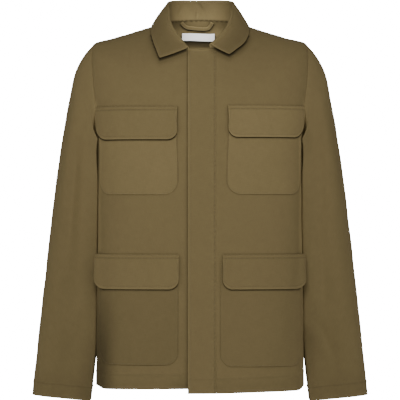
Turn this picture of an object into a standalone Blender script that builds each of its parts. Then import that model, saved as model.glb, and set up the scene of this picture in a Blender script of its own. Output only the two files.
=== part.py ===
"""Overshirt in cotton twill, worn form with no wearer.

Metres, +Z up. The front faces -Y and the wearer's left is +X. The origin is the middle of the neck,
at the height where the shoulder seams meet the collar. Every piece of cloth is a thin closed wall:
a grid of points on the cloth's middle layer, moved out by half its thickness on each side.
"""
import math

import bpy
import numpy as np

# Cloth and seams
CLOTH = 0.0012            # one layer of twill, as a wall
TWO_LAYERS = 0.0016       # placket, flaps and collar, which are turned double
HEM_CLOTH = 0.0022        # the wall where the hem is turned up
SEAM_GAP = 0.0003         # between pieces that meet edge to edge
LAYER_GAP = 0.0004        # between a panel and what is sewn on it

# Body
HEM_Z = -0.6915           # bottom of the wearer's left front and of the back
RIGHT_FRONT_LIFT = 0.0075 # the right front hangs this much higher at its free edge
HEM_TURN = 0.028          # depth of the turned-up hem
SIDE_LIFT = 0.0060        # the hem rises this much at the side seams
CENTRE_DROP = 0.0042      # the left front and its band hang this much lower at the middle
CENTRE_DROP_WIDTH = 0.165
BODY_COLUMNS = ("down", "half_width", "front_depth", "back_depth", "side_z", "front_z", "back_z",
                "front_power", "back_power", "tilt_power")
BODY_RINGS = (            # from the neck seam to the hem; down is measured along the shoulder and the side
    (0.000, 0.0780, 0.0850, 0.0750, 0.0070, -0.0468, 0.0180, 2.10, 2.10, 1.15),
    (0.045, 0.1210, 0.0990, 0.0940, -0.0063, -0.0800, -0.0060, 2.05, 2.05, 1.30),
    (0.090, 0.1640, 0.1080, 0.1070, -0.0195, -0.1130, -0.0450, 2.05, 2.05, 1.60),
    (0.130, 0.2023, 0.1125, 0.1125, -0.0311, -0.1420, -0.0850, 2.15, 2.15, 1.80),
    (0.180, 0.2150, 0.1145, 0.1155, -0.0760, -0.1720, -0.1300, 2.40, 2.35, 1.80),
    (0.250, 0.2090, 0.1155, 0.1165, -0.1420, -0.2080, -0.1800, 2.80, 2.60, 1.80),
    (0.335, 0.1992, 0.1155, 0.1160, -0.2350, -0.2580, -0.2500, 3.25, 2.80, 1.80),
    (0.450, 0.1968, 0.1150, 0.1140, -0.3500, -0.3520, -0.3520, 3.40, 2.80, 1.80),
    (0.620, 0.1975, 0.1155, 0.1140, -0.5200, -0.5200, -0.5200, 3.40, 2.80, 1.80),
    (0.7915, 0.1985, 0.1160, 0.1150, HEM_Z, HEM_Z, HEM_Z, 3.40, 2.80, 1.80),
)
NECK_DOWN = 0.0
TIP_DOWN = 0.130          # shoulder point, where the armhole starts
PIT_DOWN = 0.335          # armpit, where it closes
WAIST_DOWN = 0.550
HEM_DOWN = 0.7915
ARMHOLE_FRONT = 0.50      # how far round the armhole cuts, as a share of the body's depth
ARMHOLE_BACK = 0.70
ARMHOLE_ROUNDING = 0.55   # below 1, the armhole's curve is fuller
MEASURED_DOWN = 0.520     # ring of the straight front that distances across are measured on
SHOULDER_ROWS = 8         # rows of the body's points from the neck seam to the shoulder point
ARMHOLE_ROWS = 10         # and on to the armpit
LOWER_ROWS = (0.365, 0.410, 0.470, 0.540, 0.610, 0.675, 0.725)

# Soft folds, as moves of the surface. Turn is in degrees, from the wearer's left side or, on a sleeve,
# from its outer line.
FOLD_COLUMNS = ("turn", "along", "wide", "long", "lean", "out")
BACK_FOLDS = (
    (62.0, 0.640, 9.0, 0.20, 20.0, 0.0035),
    (83.0, 0.600, 8.0, 0.22, -8.0, -0.0030),
    (112.0, 0.660, 9.0, 0.18, -18.0, 0.0035),
    (132.0, 0.560, 8.0, 0.16, 14.0, -0.0025),
    (90.0, 0.170, 16.0, 0.09, 0.0, -0.0020),
)
FRONT_FOLDS = (
    (38.0, 0.640, 6.0, 0.16, 6.0, -0.0016),
    (140.0, 0.650, 6.0, 0.15, -6.0, -0.0016),
    (70.0, 0.420, 8.0, 0.10, 8.0, 0.0012),
    (113.0, 0.400, 8.0, 0.10, -8.0, 0.0012),
)

# Front opening
BAND_EDGE_X = -0.0225     # free edge of the placket, on the wearer's right of the middle
BAND_SEAM_X = 0.0290      # where it is sewn to the left front
FRONT_LEFT_X = 0.0235     # the left front runs under the placket to here
FRONT_RIGHT_X = 0.0200    # and the right front to here
BAND_RISE_DOWN = 0.700    # the band rises over the thicker hem from here
BAND_RISE = 0.050

# Pockets and flaps: across is measured round the front from the middle, up and down are heights
PATCH_COLUMNS = ("name", "side", "inner", "outer", "top_z", "bottom_z", "inner_radius", "outer_radius")
POCKETS = (
    ("chest_pocket_left", 1, 0.0515, 0.2060, -0.1690, -0.3190, 0.026, 0.030),
    ("chest_pocket_right", -1, 0.0420, 0.2040, -0.1690, -0.3195, 0.026, 0.030),
    ("lower_pocket_left", 1, 0.0385, 0.2080, -0.4480, -0.6440, 0.023, 0.030),
    ("lower_pocket_right", -1, 0.0415, 0.2060, -0.4480, -0.6410, 0.023, 0.030),
)
FLAPS = (
    ("chest_flap_left", 1, 0.0500, 0.2090, -0.1520, -0.2120, 0.019, 0.028),
    ("chest_flap_right", -1, 0.0400, 0.2070, -0.1540, -0.2165, 0.019, 0.030),
    ("lower_flap_left", 1, 0.0430, 0.2140, -0.4330, -0.4990, 0.018, 0.026),
    ("lower_flap_right", -1, 0.0400, 0.2130, -0.4330, -0.4990, 0.019, 0.026),
)
INNER_CORNER_STEPS = 5
OUTER_CORNER_STEPS = 6
CORNER_CLEAR = 0.003      # least space between a corner's columns and the front's own
FRONT_GRID = (0.048, 0.078, 0.106, 0.130, 0.149, 0.164, 0.177, 0.189, 0.200, 0.211, 0.223, 0.237, 0.255)
FRONT_KEPT = 0.189        # columns up to here run straight down; those beyond give way to the armhole
FLAP_SEAM = 0.0080        # the flap lies on the panel this far down, and then rises over the pocket
FLAP_STEP = 0.0050        # depth of that rise
FLAP_EASE = 0.0003        # the flap stands this much freer of the pocket than a sewn layer
FLAP_MIDDLE = 0.62        # one more row of its points, as a share of its height
OVERHANG_X = 0.2095       # flaps that reach further round than this stand off the body's side
OVERHANG = 0.0060
OVERHANG_WIDTH = 0.034

# Sleeves
SLEEVE_COLUMNS = ("along", "outer_x", "outer_z", "middle_y", "half_depth")
SLEEVE_ROWS = (           # the outer line, as the photo's outline shows it
    (0.000, 0.2023, -0.0311, 0.0105, 0.0700),
    (0.037, 0.2190, -0.0490, 0.0130, 0.0710),
    (0.088, 0.2369, -0.0798, 0.0180, 0.0725),
    (0.174, 0.2512, -0.1376, 0.0270, 0.0775),
    (0.342, 0.2714, -0.2532, 0.0340, 0.0820),
    (0.567, 0.2907, -0.4072, 0.0345, 0.0745),
    (0.791, 0.3080, -0.5613, 0.0340, 0.0590),
    (1.000, 0.3229, -0.7045, 0.0300, 0.0420),
)
UNDERARM_COLUMNS = ("along", "inner_x", "inner_z")
UNDERARM_ROWS = (         # the line under the arm, beside the body
    (0.000, 0.2008, -0.2350),
    (0.060, 0.2002, -0.2620),
    (0.150, 0.1990, -0.3000),
    (0.300, 0.1982, -0.3750),
    (0.600, 0.1980, -0.5300),
    (0.820, 0.2002, -0.6280),
    (1.000, 0.2104, -0.7150),
)
UNDERARM_EASE = 1.5       # rings crowd under the arm and open out toward the cuff
SLEEVE_RINGS = 21
RING_CROWDING = 1.45      # rings lie closer together over the sleeve's head
SLEEVE_BLEND = 0.34       # share of the sleeve over which the armhole's shape turns into an oval
INNER_SQUARENESS = 9.0    # power of the section beside the body; 2 is an oval
OUTER_SQUARENESS = 2.4
BODY_CLEARANCE = 0.0027   # the section's inner wall follows the body's side at this distance
BESIDE_DOWN = 0.60        # where the body's side is measured for it
FOLLOW_SHARE = 0.22       # share of the section's depth over which it starts to follow
SLEEVE_SET_OUT = 0.0016   # the sleeve's edge stands beside the body's edge at the armpit
CUFF_TURN = 0.026
SLEEVE_LENGTH = 0.69
FOLD_START = 0.12         # folds fade in over this share of the sleeve
SLEEVE_FOLDS = (
    (62.0, 0.30, 16.0, 0.17, 0.0, -0.0030),
    (100.0, 0.34, 15.0, 0.14, 24.0, 0.0022),
    (118.0, 0.60, 15.0, 0.10, -46.0, -0.0030),
    (75.0, 0.66, 16.0, 0.10, -30.0, 0.0022),
    (268.0, 0.42, 18.0, 0.14, 20.0, -0.0030),
    (300.0, 0.60, 18.0, 0.12, -34.0, 0.0025),
    (240.0, 0.66, 16.0, 0.10, 30.0, -0.0025),
)

# Collar: angles go round the neck from the middle of the back (0) by the shoulder (90) to the front (180)
ROLL_HALF = 0.0022        # half the width of its fold
COLLAR_COLUMNS = ("neck_angle", "roll_x", "roll_y", "roll_z", "edge_angle", "edge_down", "lift", "bulge")
COLLAR_RIGHT = (
    (0.0, 0.0000, 0.0710, 0.0570, 0.0, 0.0170, 0.0024, 0.0030),
    (35.0, 0.0420, 0.0610, 0.0565, 36.0, 0.0180, 0.0024, 0.0030),
    (66.0, 0.0615, 0.0350, 0.0512, 66.0, 0.0180, 0.0026, 0.0022),
    (90.0, 0.0625, 0.0060, 0.0360, 90.0, 0.0150, 0.0030, 0.0030),
    (115.0, 0.0590, -0.0240, 0.0150, 110.0, 0.0200, 0.0036, 0.0035),
    (135.0, 0.0505, -0.0470, -0.0050, 124.0, 0.0270, 0.0042, 0.0040),
    (150.0, 0.0385, -0.0665, -0.0225, 134.5, 0.0360, 0.0052, 0.0015),
    (163.0, 0.0236, -0.0842, -0.0405, 142.5, 0.0460, 0.0064, -0.0010),
)
COLLAR_LEFT = (
    (0.0, 0.0000, 0.0710, 0.0570, 0.0, 0.0170, 0.0024, 0.0030),
    (35.0, 0.0420, 0.0610, 0.0565, 36.0, 0.0180, 0.0024, 0.0030),
    (66.0, 0.0615, 0.0350, 0.0512, 66.0, 0.0180, 0.0026, 0.0022),
    (90.0, 0.0625, 0.0060, 0.0360, 90.0, 0.0155, 0.0030, 0.0030),
    (115.0, 0.0585, -0.0240, 0.0150, 111.0, 0.0200, 0.0036, 0.0035),
    (135.0, 0.0480, -0.0470, -0.0050, 126.0, 0.0235, 0.0042, 0.0040),
    (150.0, 0.0360, -0.0660, -0.0200, 139.0, 0.0256, 0.0056, 0.0015),
    (165.0, 0.0205, -0.0845, -0.0345, 150.0, 0.0320, 0.0070, -0.0010),
)
COLLAR_STATIONS = 13      # stations round each half of the neck
STAND_SHARES = (0.0, 0.34, 0.70, 1.0)           # rows of points from the neck seam up to the fold
LEAF_SHARES = (0.0, 0.22, 0.48, 0.75, 1.0)      # and from the fold down to the leaf's edge

# Trim inside the back neck
LOOP_WIDTH = 0.0066
LOOP_CLOTH = 0.0012
LOOP_STAND = 0.0012       # how far the loop stands off the back in its middle
LOOP_COLUMNS = ("x", "z")
LOOP_PATH = (
    (-0.0390, 0.0120),
    (-0.0340, 0.0085),
    (-0.0270, 0.0050),
    (-0.0150, 0.0028),
    (0.0000, 0.0016),
    (0.0110, 0.0016),
    (0.0190, 0.0038),
    (0.0250, 0.0088),
    (0.0285, 0.0120),
)
LABEL_LEFT = -0.0357
LABEL_RIGHT = 0.0296
LABEL_TOP = -0.0062
LABEL_BOTTOM = -0.0222
LABEL_CLOTH = 0.0010
LABEL_STAND = 0.0006      # the label bridges the hollow of the back

# Finishes: base colour, roughness
TWILL = ((0.176, 0.139, 0.064, 1.0), 0.86)
TWILL_INSIDE = ((0.150, 0.119, 0.056, 1.0), 0.88)
LABEL_WHITE = ((0.83, 0.81, 0.78, 1.0), 0.75)


def clear_scene():
    """Empties the scene of its objects."""
    for old in list(bpy.data.objects):
        bpy.data.objects.remove(old, do_unlink=True)


def column(table, columns, name):
    """One named column of a table, as an array."""
    place = columns.index(name)
    return np.array([row[place] for row in table], dtype=float)


def smooth_column(table, columns, name, at):
    """A smooth curve through one column, read at the places given in the table's first column."""
    where = column(table, columns, columns[0])
    value = column(table, columns, name)
    slope = np.gradient(value, where)
    at = np.clip(np.asarray(at, dtype=float), where[0], where[-1])
    left = np.clip(np.searchsorted(where, at, side="right") - 1, 0, len(where) - 2)
    span = where[left + 1] - where[left]
    u = (at - where[left]) / span
    start = (2 * u**3 - 3 * u**2 + 1) * value[left] + (u**3 - 2 * u**2 + u) * span * slope[left]
    end = (3 * u**2 - 2 * u**3) * value[left + 1] + (u**3 - u**2) * span * slope[left + 1]
    return start + end


def ease(u):
    """Rises smoothly from 0 to 1."""
    u = np.clip(u, 0.0, 1.0)
    return u * u * (3.0 - 2.0 * u)


def fold_move(table, turn, along):
    """Soft troughs and ridges: a bump for each row of the table, leaning as it goes along."""
    move = np.zeros(np.broadcast(turn, along).shape)
    for row in table:
        fold = dict(zip(FOLD_COLUMNS, row))
        run = (along - fold["along"]) / fold["long"]
        across = (turn - fold["turn"] - fold["lean"] * run) / fold["wide"]
        move = move + fold["out"] * np.exp(-across**2 - run**2)
    return move


# ---- the body's form -----------------------------------------------------------------------------


def body(name, down):
    """One size of the body at a distance down from the neck seam."""
    return smooth_column(BODY_RINGS, BODY_COLUMNS, name, down)


def body_layer(turn, down, face):
    """Middle layer of the body. Turn goes from the wearer's left side (0) to the right side (180)."""
    power = body(face + "_power", down)
    depth = body(face + "_depth", down)
    across = np.cos(turn)
    forth = np.abs(np.sin(turn))
    reach = (np.abs(across)**power + forth**power)**(-1.0 / power)
    share = reach * forth
    side_z = body("side_z", down)
    z = side_z + (body(face + "_z", down) - side_z) * share**body("tilt_power", down)
    y = depth * share * (-1.0 if face == "front" else 1.0)
    return np.stack(np.broadcast_arrays(body("half_width", down) * reach * across, y, z), axis=-1)


def body_normal(turn, down, face):
    """Outward direction of the body's layer, from two small steps on it."""
    step_turn = 1e-4
    step_down = 1e-5
    turn = np.clip(turn, 2 * step_turn, math.pi - 2 * step_turn)
    inside = np.clip(down, step_down, HEM_DOWN - step_down)
    round_way = body_layer(turn + step_turn, inside, face) - body_layer(turn - step_turn, inside, face)
    down_way = body_layer(turn, inside + step_down, face) - body_layer(turn, inside - step_down, face)
    normal = np.cross(round_way, down_way)
    if face == "back":
        normal = -normal
    return normal / np.linalg.norm(normal, axis=-1, keepdims=True)


def body_surface(turn, down, face, out=0.0):
    """Layer of the body with its soft folds, moved out by a distance."""
    turn, down, out = np.broadcast_arrays(turn, down, out)
    folds = FRONT_FOLDS if face == "front" else BACK_FOLDS
    move = fold_move(folds, np.degrees(turn), down) + out
    return body_layer(turn, down, face) + body_normal(turn, down, face) * move[..., None]


def turn_at_x(x, down, face):
    """Turn at which the body reaches a given x."""
    share = np.clip(np.abs(x) / body("half_width", down), 1e-4, 0.9999)
    power = body(face + "_power", down)
    turn = np.arctan((share**-power - 1.0)**(1.0 / power))
    return np.where(np.asarray(x) >= 0, turn, math.pi - turn)


def turn_at_share(share, down, face):
    """Turn, from the side, at which the body's depth is a given share of its whole depth."""
    power = body(face + "_power", down)
    share = np.clip(share, 1e-4, 0.9999)
    return math.pi / 2 - np.arctan((share**-power - 1.0)**(1.0 / power))


def down_at_z(turn, z, face):
    """Distance down at which the body's layer reaches a height, by halving."""
    turn, z = np.broadcast_arrays(turn, z)
    low = np.zeros(z.shape)
    high = np.full(z.shape, HEM_DOWN)
    for _ in range(40):
        middle = (low + high) / 2
        above = body_layer(turn, middle, face)[..., 2] > z
        low = np.where(above, middle, low)
        high = np.where(above, high, middle)
    return (low + high) / 2


def measured_front():
    """Distance round the straight part of the front from its middle, and the turn there."""
    turn = np.linspace(math.pi / 2, 0.0, 2000)
    ring = body_layer(turn, np.full(turn.shape, MEASURED_DOWN), "front")
    steps = np.linalg.norm(np.diff(ring, axis=0), axis=1)
    return np.concatenate(([0.0], np.cumsum(steps))), turn


FRONT_LENGTHS, FRONT_TURNS = measured_front()
FRONT_HALF = FRONT_LENGTHS[-1]
FRONT_COLUMNS = np.concatenate((FRONT_GRID, [FRONT_HALF]))


def turn_across(across, side):
    """Turn at a distance round the front from its middle, on the wearer's left (1) or right (-1)."""
    turn = np.interp(across, FRONT_LENGTHS, FRONT_TURNS)
    return turn if side > 0 else math.pi - turn


def armhole_turn(down, face):
    """Turn of the armhole's edge, from the side, at a distance down from the shoulder."""
    deepest = ARMHOLE_FRONT if face == "front" else ARMHOLE_BACK
    run = np.clip((down - TIP_DOWN) / (PIT_DOWN - TIP_DOWN), 0.0, 1.0)
    share = deepest * np.sin(math.pi * run)**ARMHOLE_ROUNDING
    return np.where((run > 0) & (run < 1), turn_at_share(share, down, face), 0.0)


def body_rows():
    """Distances down of the body's rows, crowding at both ends of the armhole."""
    shoulder = np.linspace(NECK_DOWN, TIP_DOWN, SHOULDER_ROWS)
    turns = np.arange(1, ARMHOLE_ROWS + 1) * math.pi / ARMHOLE_ROWS
    armhole = TIP_DOWN + (PIT_DOWN - TIP_DOWN) * (1 - np.cos(turns)) / 2
    return np.concatenate((shoulder, armhole, LOWER_ROWS, (HEM_DOWN - HEM_TURN, HEM_DOWN)))


ROWS = body_rows()


# ---- making walls of cloth -----------------------------------------------------------------------


def grid_normals(layer, closed):
    """Normals of a grid of points, from its rows and columns; closed grids wrap round in their columns."""
    along = np.gradient(layer, axis=0)
    if closed:
        across = (np.roll(layer, -1, axis=1) - np.roll(layer, 1, axis=1)) / 2
    else:
        across = np.gradient(layer, axis=1)
    normal = np.cross(along, across)
    return normal / np.maximum(np.linalg.norm(normal, axis=-1, keepdims=True), 1e-12)


def material(name, finish):
    """Principled material with a base colour and a roughness."""
    colour, roughness = finish
    made = bpy.data.materials.new(name)
    made.use_nodes = True
    shader = made.node_tree.nodes["Principled BSDF"]
    shader.inputs["Base Color"].default_value = colour
    shader.inputs["Roughness"].default_value = roughness
    shader.inputs["Metallic"].default_value = 0.0
    made.diffuse_color = colour
    return made


def cloth_wall(name, layer, thickness, finish, closed=False, normals=None):
    """Closed thin wall round a grid of points on the cloth's middle layer.

    The grid's rows and columns turn so that their cross product points out of the garment. Two sheets
    lie half a thickness to each side, and strips close the edges.
    """
    rows, columns = layer.shape[:2]
    if normals is None:
        normals = grid_normals(layer, closed)
    half = np.broadcast_to(np.asarray(thickness, dtype=float) / 2, (rows, columns))[..., None]
    outer, inner = layer + normals * half, layer - normals * half
    points = np.concatenate((outer.reshape(-1, 3), inner.reshape(-1, 3)))
    under = rows * columns
    number = np.arange(rows * columns).reshape(rows, columns)
    faces = []
    last = columns if closed else columns - 1
    for i in range(rows - 1):
        for j in range(last):
            k = (j + 1) % columns
            a, b, c, d = number[i, j], number[i + 1, j], number[i + 1, k], number[i, k]
            faces.append((a, b, c, d))
            faces.append((a + under, d + under, c + under, b + under))
    for j in range(last):
        k = (j + 1) % columns
        faces.append((number[0, j], number[0, k], number[0, k] + under, number[0, j] + under))
        faces.append((number[-1, k], number[-1, j], number[-1, j] + under, number[-1, k] + under))
    if not closed:
        for i in range(rows - 1):
            faces.append((number[i + 1, 0], number[i, 0], number[i, 0] + under, number[i + 1, 0] + under))
            faces.append((number[i, -1], number[i + 1, -1], number[i + 1, -1] + under, number[i, -1] + under))
    mesh = bpy.data.meshes.new(name)
    mesh.from_pydata(points.tolist(), [], [tuple(int(v) for v in face) for face in faces])
    mesh.materials.append(material(name, finish))
    mesh.update()
    mesh.shade_smooth()
    mesh.set_sharp_from_angle(angle=math.radians(40))
    piece = bpy.data.objects.new(name, mesh)
    bpy.context.collection.objects.link(piece)
    return piece


def wall_thickness(down):
    """One layer of cloth, and more at the turned-up hem."""
    return np.where(down > HEM_DOWN - HEM_TURN + 1e-6, HEM_CLOTH, CLOTH)


def hem_run(down):
    """How far a row has come from the waist toward the hem, for lifts of the hem's edge."""
    return ease((down - WAIST_DOWN) / (HEM_DOWN - WAIST_DOWN))


# ---- the pieces ----------------------------------------------------------------------------------


def hem_drop(x, down):
    """How much lower the left front and its band hang toward the middle of the hem."""
    return CENTRE_DROP * ease(1 - np.clip(x, 0.0, None) / CENTRE_DROP_WIDTH) * hem_run(down)


def opening_across(inner_x, side):
    """Distance round the front at which each row meets a front's straight inner edge."""
    turn = turn_at_x(np.full(ROWS.shape, abs(inner_x)), ROWS, "front")
    across = np.interp(turn, FRONT_TURNS[::-1], FRONT_LENGTHS[::-1])
    return across if inner_x * side > 0 else -across


def build_front(name, side, inner_x, hem_lift):
    """One front: from the opening to the side seam, the armhole and the shoulder seam, and up to the neck."""
    columns = np.concatenate(([side * inner_x], FRONT_COLUMNS))
    start = opening_across(inner_x, side)
    seam = SEAM_GAP / 2 / body("front_depth", ROWS)
    outer = np.maximum(armhole_turn(ROWS, "front"), seam)
    end = np.interp(outer, FRONT_TURNS[::-1], FRONT_LENGTHS[::-1])
    plan = (columns[0], FRONT_KEPT, FRONT_HALF)
    across = np.array([np.interp(columns, plan, (first, FRONT_KEPT, last))
                       for first, last in zip(start, end)])
    turn = np.where(across >= 0, turn_across(np.abs(across), side), turn_across(np.abs(across), -side))
    down = np.repeat(ROWS[:, None], len(columns), axis=1)
    shares = (columns - columns[0]) / (columns[-1] - columns[0])
    lift = (hem_lift * (1 - shares) + SIDE_LIFT * shares**5)[None, :] * hem_run(down)
    layer = body_surface(turn, down - lift, "front")
    if side > 0:
        layer[..., 2] -= hem_drop(layer[..., 0], down)
        layer = layer[:, ::-1]
    cloth_wall(name, layer, wall_thickness(down), TWILL)


def build_back():
    """The back, from one side seam to the other."""
    shares = np.linspace(-1.0, 1.0, 23)
    seam = SEAM_GAP / 2 / body("back_depth", ROWS)
    outer = np.maximum(armhole_turn(ROWS, "back"), seam)
    turn = math.pi / 2 - (math.pi / 2 - outer)[:, None] * shares[None, :]
    down = np.repeat(ROWS[:, None], len(shares), axis=1)
    lift = SIDE_LIFT * np.abs(shares)[None, :]**6 * hem_run(down)
    layer = body_surface(turn, down - lift, "back")
    cloth_wall("back", layer[:, ::-1], wall_thickness(down), TWILL)


def armhole_loop(side):
    """Points and outward normals round one armhole: down its front edge and up its back edge."""
    rows = ROWS[(ROWS > TIP_DOWN - 1e-9) & (ROWS < PIT_DOWN + 1e-9)]
    front_turn = armhole_turn(rows, "front")
    back_turn = armhole_turn(rows, "back")
    if side < 0:
        front_turn = math.pi - front_turn
        back_turn = math.pi - back_turn
    points = np.concatenate((body_surface(front_turn, rows, "front"),
                             body_surface(back_turn, rows, "back")[-2:0:-1]))
    normals = np.concatenate((body_normal(front_turn, rows, "front"),
                              body_normal(back_turn, rows, "back")[-2:0:-1]))
    return points, normals


def sleeve_section(angle):
    """Section of the sleeve, an oval squarer at the front and squarest beside the body."""
    cosine, sine = np.cos(angle), np.sin(angle)
    power = np.where(sine > 0, np.where(cosine < 0, INNER_SQUARENESS, OUTER_SQUARENESS), 2.0)
    reach = (np.abs(cosine)**power + np.abs(sine)**power)**(-1.0 / power)
    return cosine * reach, sine * reach


def beside_body(y, cosine, sine):
    """How far the sleeve's inner wall moves sideways to follow the body's side."""
    power = body("front_power", BESIDE_DOWN)
    depth = np.clip(-y / body("front_depth", BESIDE_DOWN), 0.0, 0.9)
    follow = body("half_width", BESIDE_DOWN) * ((1.0 - depth**power)**(1.0 / power) - 1.0)
    stand_off = BODY_CLEARANCE * (1.0 - np.clip(sine, 0.0, 1.0)**4)
    return (follow + stand_off) * ease(sine / FOLLOW_SHARE) * ease(-cosine * 1.2)


def build_sleeve(name, side):
    """Tube from the armhole to the cuff. Each ring spans the outer line and the line under the arm."""
    loop, loop_normals = armhole_loop(side)
    count = len(loop)
    angle = np.arange(count) * 2 * math.pi / count
    set_out = SEAM_GAP * 1.2 + (SLEEVE_SET_OUT - SEAM_GAP * 1.2) * ease((1 - np.cos(angle)) / 2)**2
    first = loop + np.stack((side * set_out, np.zeros(count), np.zeros(count)), axis=-1)

    along = np.linspace(0.0, 1.0, SLEEVE_RINGS)**RING_CROWDING
    top = np.stack((side * smooth_column(SLEEVE_ROWS, SLEEVE_COLUMNS, "outer_x", along),
                    smooth_column(SLEEVE_ROWS, SLEEVE_COLUMNS, "middle_y", along),
                    smooth_column(SLEEVE_ROWS, SLEEVE_COLUMNS, "outer_z", along)), axis=-1)
    under_along = along**UNDERARM_EASE
    under = np.stack((side * smooth_column(UNDERARM_ROWS, UNDERARM_COLUMNS, "inner_x", under_along),
                      top[:, 1],
                      smooth_column(UNDERARM_ROWS, UNDERARM_COLUMNS, "inner_z", under_along)), axis=-1)
    centre = (top + under) / 2
    reach = (top - under) / 2
    depth = smooth_column(SLEEVE_ROWS, SLEEVE_COLUMNS, "half_depth", along)

    blend = ease(along / SLEEVE_BLEND)[:, None]
    offset = first - centre[0]
    upward = (offset @ reach[0]) / (reach[0] @ reach[0])
    forward = -offset[:, 1] / depth[0]
    left_over = offset - upward[:, None] * reach[0] - np.stack(
        (np.zeros(count), -forward * depth[0], np.zeros(count)), axis=-1)
    section_cosine, section_sine = sleeve_section(angle)
    cosine = upward[None, :] * (1 - blend) + section_cosine[None, :] * blend
    sine = forward[None, :] * (1 - blend) + section_sine[None, :] * blend
    ring = centre[:, None, :] + reach[:, None, :] * cosine[..., None]
    ring[..., 1] -= depth[:, None] * sine
    ring[..., 0] += side * beside_body(ring[..., 1], cosine, sine) * blend
    ring += left_over[None, :, :] * (1 - blend)[..., None]

    normals = grid_normals(ring, True) * side
    turn = np.degrees(angle)[None, :]
    move = fold_move(SLEEVE_FOLDS, turn, along[:, None]) * ease(along / FOLD_START)[:, None]
    layer = ring + normals * move[..., None]
    normals = grid_normals(layer, True) * side
    normals[0] = loop_normals
    thickness = np.where(along > 1 - CUFF_TURN / SLEEVE_LENGTH, HEM_CLOTH, CLOTH)[:, None]
    if side < 0:
        layer = layer[:, ::-1]
        normals = normals[:, ::-1]
    cloth_wall(name, layer, thickness, TWILL, closed=True, normals=normals)


def neck_ring(angle, side):
    """Neck seam at an angle from the middle of the back, with the normal and the way up over its edge."""
    back = angle <= 90.0
    turn = np.radians(np.where(back, 90.0 - angle, angle - 90.0))
    if side < 0:
        turn = math.pi - turn
    down = np.zeros(angle.shape)
    step = np.full(angle.shape, 0.001)
    front_point = body_layer(turn, down, "front")
    back_point = body_layer(turn, down, "back")
    point = np.where(back[:, None], back_point, front_point)
    lower = np.where(back[:, None], body_layer(turn, step, "back"), body_layer(turn, step, "front"))
    over = (point - lower) / np.linalg.norm(point - lower, axis=-1, keepdims=True)
    return point, over


def collar_half(table, side):
    """Grid of the collar's middle layer from the middle of the back to one front end."""
    last = table[-1][0]
    angle = np.linspace(0.0, last, COLLAR_STATIONS)
    neck, over = neck_ring(angle, side)
    roll = np.stack((side * smooth_column(table, COLLAR_COLUMNS, "roll_x", angle),
                     smooth_column(table, COLLAR_COLUMNS, "roll_y", angle),
                     smooth_column(table, COLLAR_COLUMNS, "roll_z", angle)), axis=-1)
    stand_way = roll - neck
    stand_way = stand_way / np.linalg.norm(stand_way, axis=-1, keepdims=True)
    bend = np.linalg.norm(np.cross(over, stand_way), axis=-1)
    neck = neck + over * (SEAM_GAP * 1.3 + TWO_LAYERS / 2 * bend)[:, None]

    edge_angle = smooth_column(table, COLLAR_COLUMNS, "edge_angle", angle)
    edge_down = smooth_column(table, COLLAR_COLUMNS, "edge_down", angle)
    lift = smooth_column(table, COLLAR_COLUMNS, "lift", angle)
    bulge = smooth_column(table, COLLAR_COLUMNS, "bulge", angle)
    edge_turn = np.radians(np.abs(90.0 - edge_angle))
    if side < 0:
        edge_turn = math.pi - edge_turn
    on_back = (edge_angle <= 90.0)[:, None]
    edge = np.where(on_back, body_surface(edge_turn, edge_down, "back", lift),
                    body_surface(edge_turn, edge_down, "front", lift))

    outward = edge - neck
    outward[:, 2] = 0.0
    outward = outward / np.linalg.norm(outward, axis=-1, keepdims=True)
    up = np.array((0.0, 0.0, 1.0))
    inner_top = roll - outward * ROLL_HALF - up * ROLL_HALF
    outer_top = roll + outward * ROLL_HALF - up * ROLL_HALF
    profile = [neck + (inner_top - neck) * share for share in STAND_SHARES]
    profile.append(roll)
    leaf = edge - outer_top
    rise = np.cross(leaf, np.cross(outward, leaf))
    rise = rise / np.linalg.norm(rise, axis=-1, keepdims=True)
    for share in LEAF_SHARES:
        profile.append(outer_top + leaf * share + rise * (bulge * 4 * share * (1 - share))[:, None])
    return np.stack(profile, axis=1)


def build_collar():
    """One piece round the neck: the wearer's right half reversed, then the left half."""
    right = collar_half(COLLAR_RIGHT, -1)
    left = collar_half(COLLAR_LEFT, 1)
    layer = np.concatenate((right[:0:-1], left))
    cloth_wall("collar", layer, TWO_LAYERS, TWILL)


def build_placket():
    """The fly band down the front, over the left front's edge and the right front."""
    x = np.linspace(BAND_EDGE_X, BAND_SEAM_X, 5)
    down = np.repeat(ROWS[:, None], len(x), axis=1)
    turn = turn_at_x(np.repeat(x[None, :], len(ROWS), axis=0), down, "front")
    out = CLOTH / 2 + LAYER_GAP + TWO_LAYERS / 2
    out = out + (HEM_CLOTH - CLOTH) / 2 * ease((down - BAND_RISE_DOWN) / BAND_RISE)
    layer = body_surface(turn, down, "front", out)
    layer[..., 2] -= hem_drop(layer[..., 0], down)
    cloth_wall("front_placket", layer, TWO_LAYERS, TWILL)


def patch_columns(inner, outer, inner_radius, outer_radius):
    """Distances across a patch: the front's own columns, and closer ones over the rounded corners."""
    first = inner + inner_radius * (1 - np.cos(np.linspace(0, math.pi / 2, INNER_CORNER_STEPS)))
    last = outer - outer_radius * (1 - np.cos(np.linspace(math.pi / 2, 0, OUTER_CORNER_STEPS)))
    kept = (FRONT_COLUMNS > first[-1] + CORNER_CLEAR) & (FRONT_COLUMNS < last[0] - CORNER_CLEAR)
    grid = FRONT_COLUMNS[kept]
    return np.concatenate((first, grid, last))


def rounded_bottom(across, inner, outer, inner_radius, outer_radius):
    """How much shorter a patch is at each distance across, over its rounded lower corners."""
    near = np.clip(inner_radius - (across - inner), 0.0, inner_radius)
    far = np.clip(outer_radius - (outer - across), 0.0, outer_radius)
    short = inner_radius - np.sqrt(np.maximum(inner_radius**2 - near**2, 0.0))
    return short + outer_radius - np.sqrt(np.maximum(outer_radius**2 - far**2, 0.0))


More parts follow.
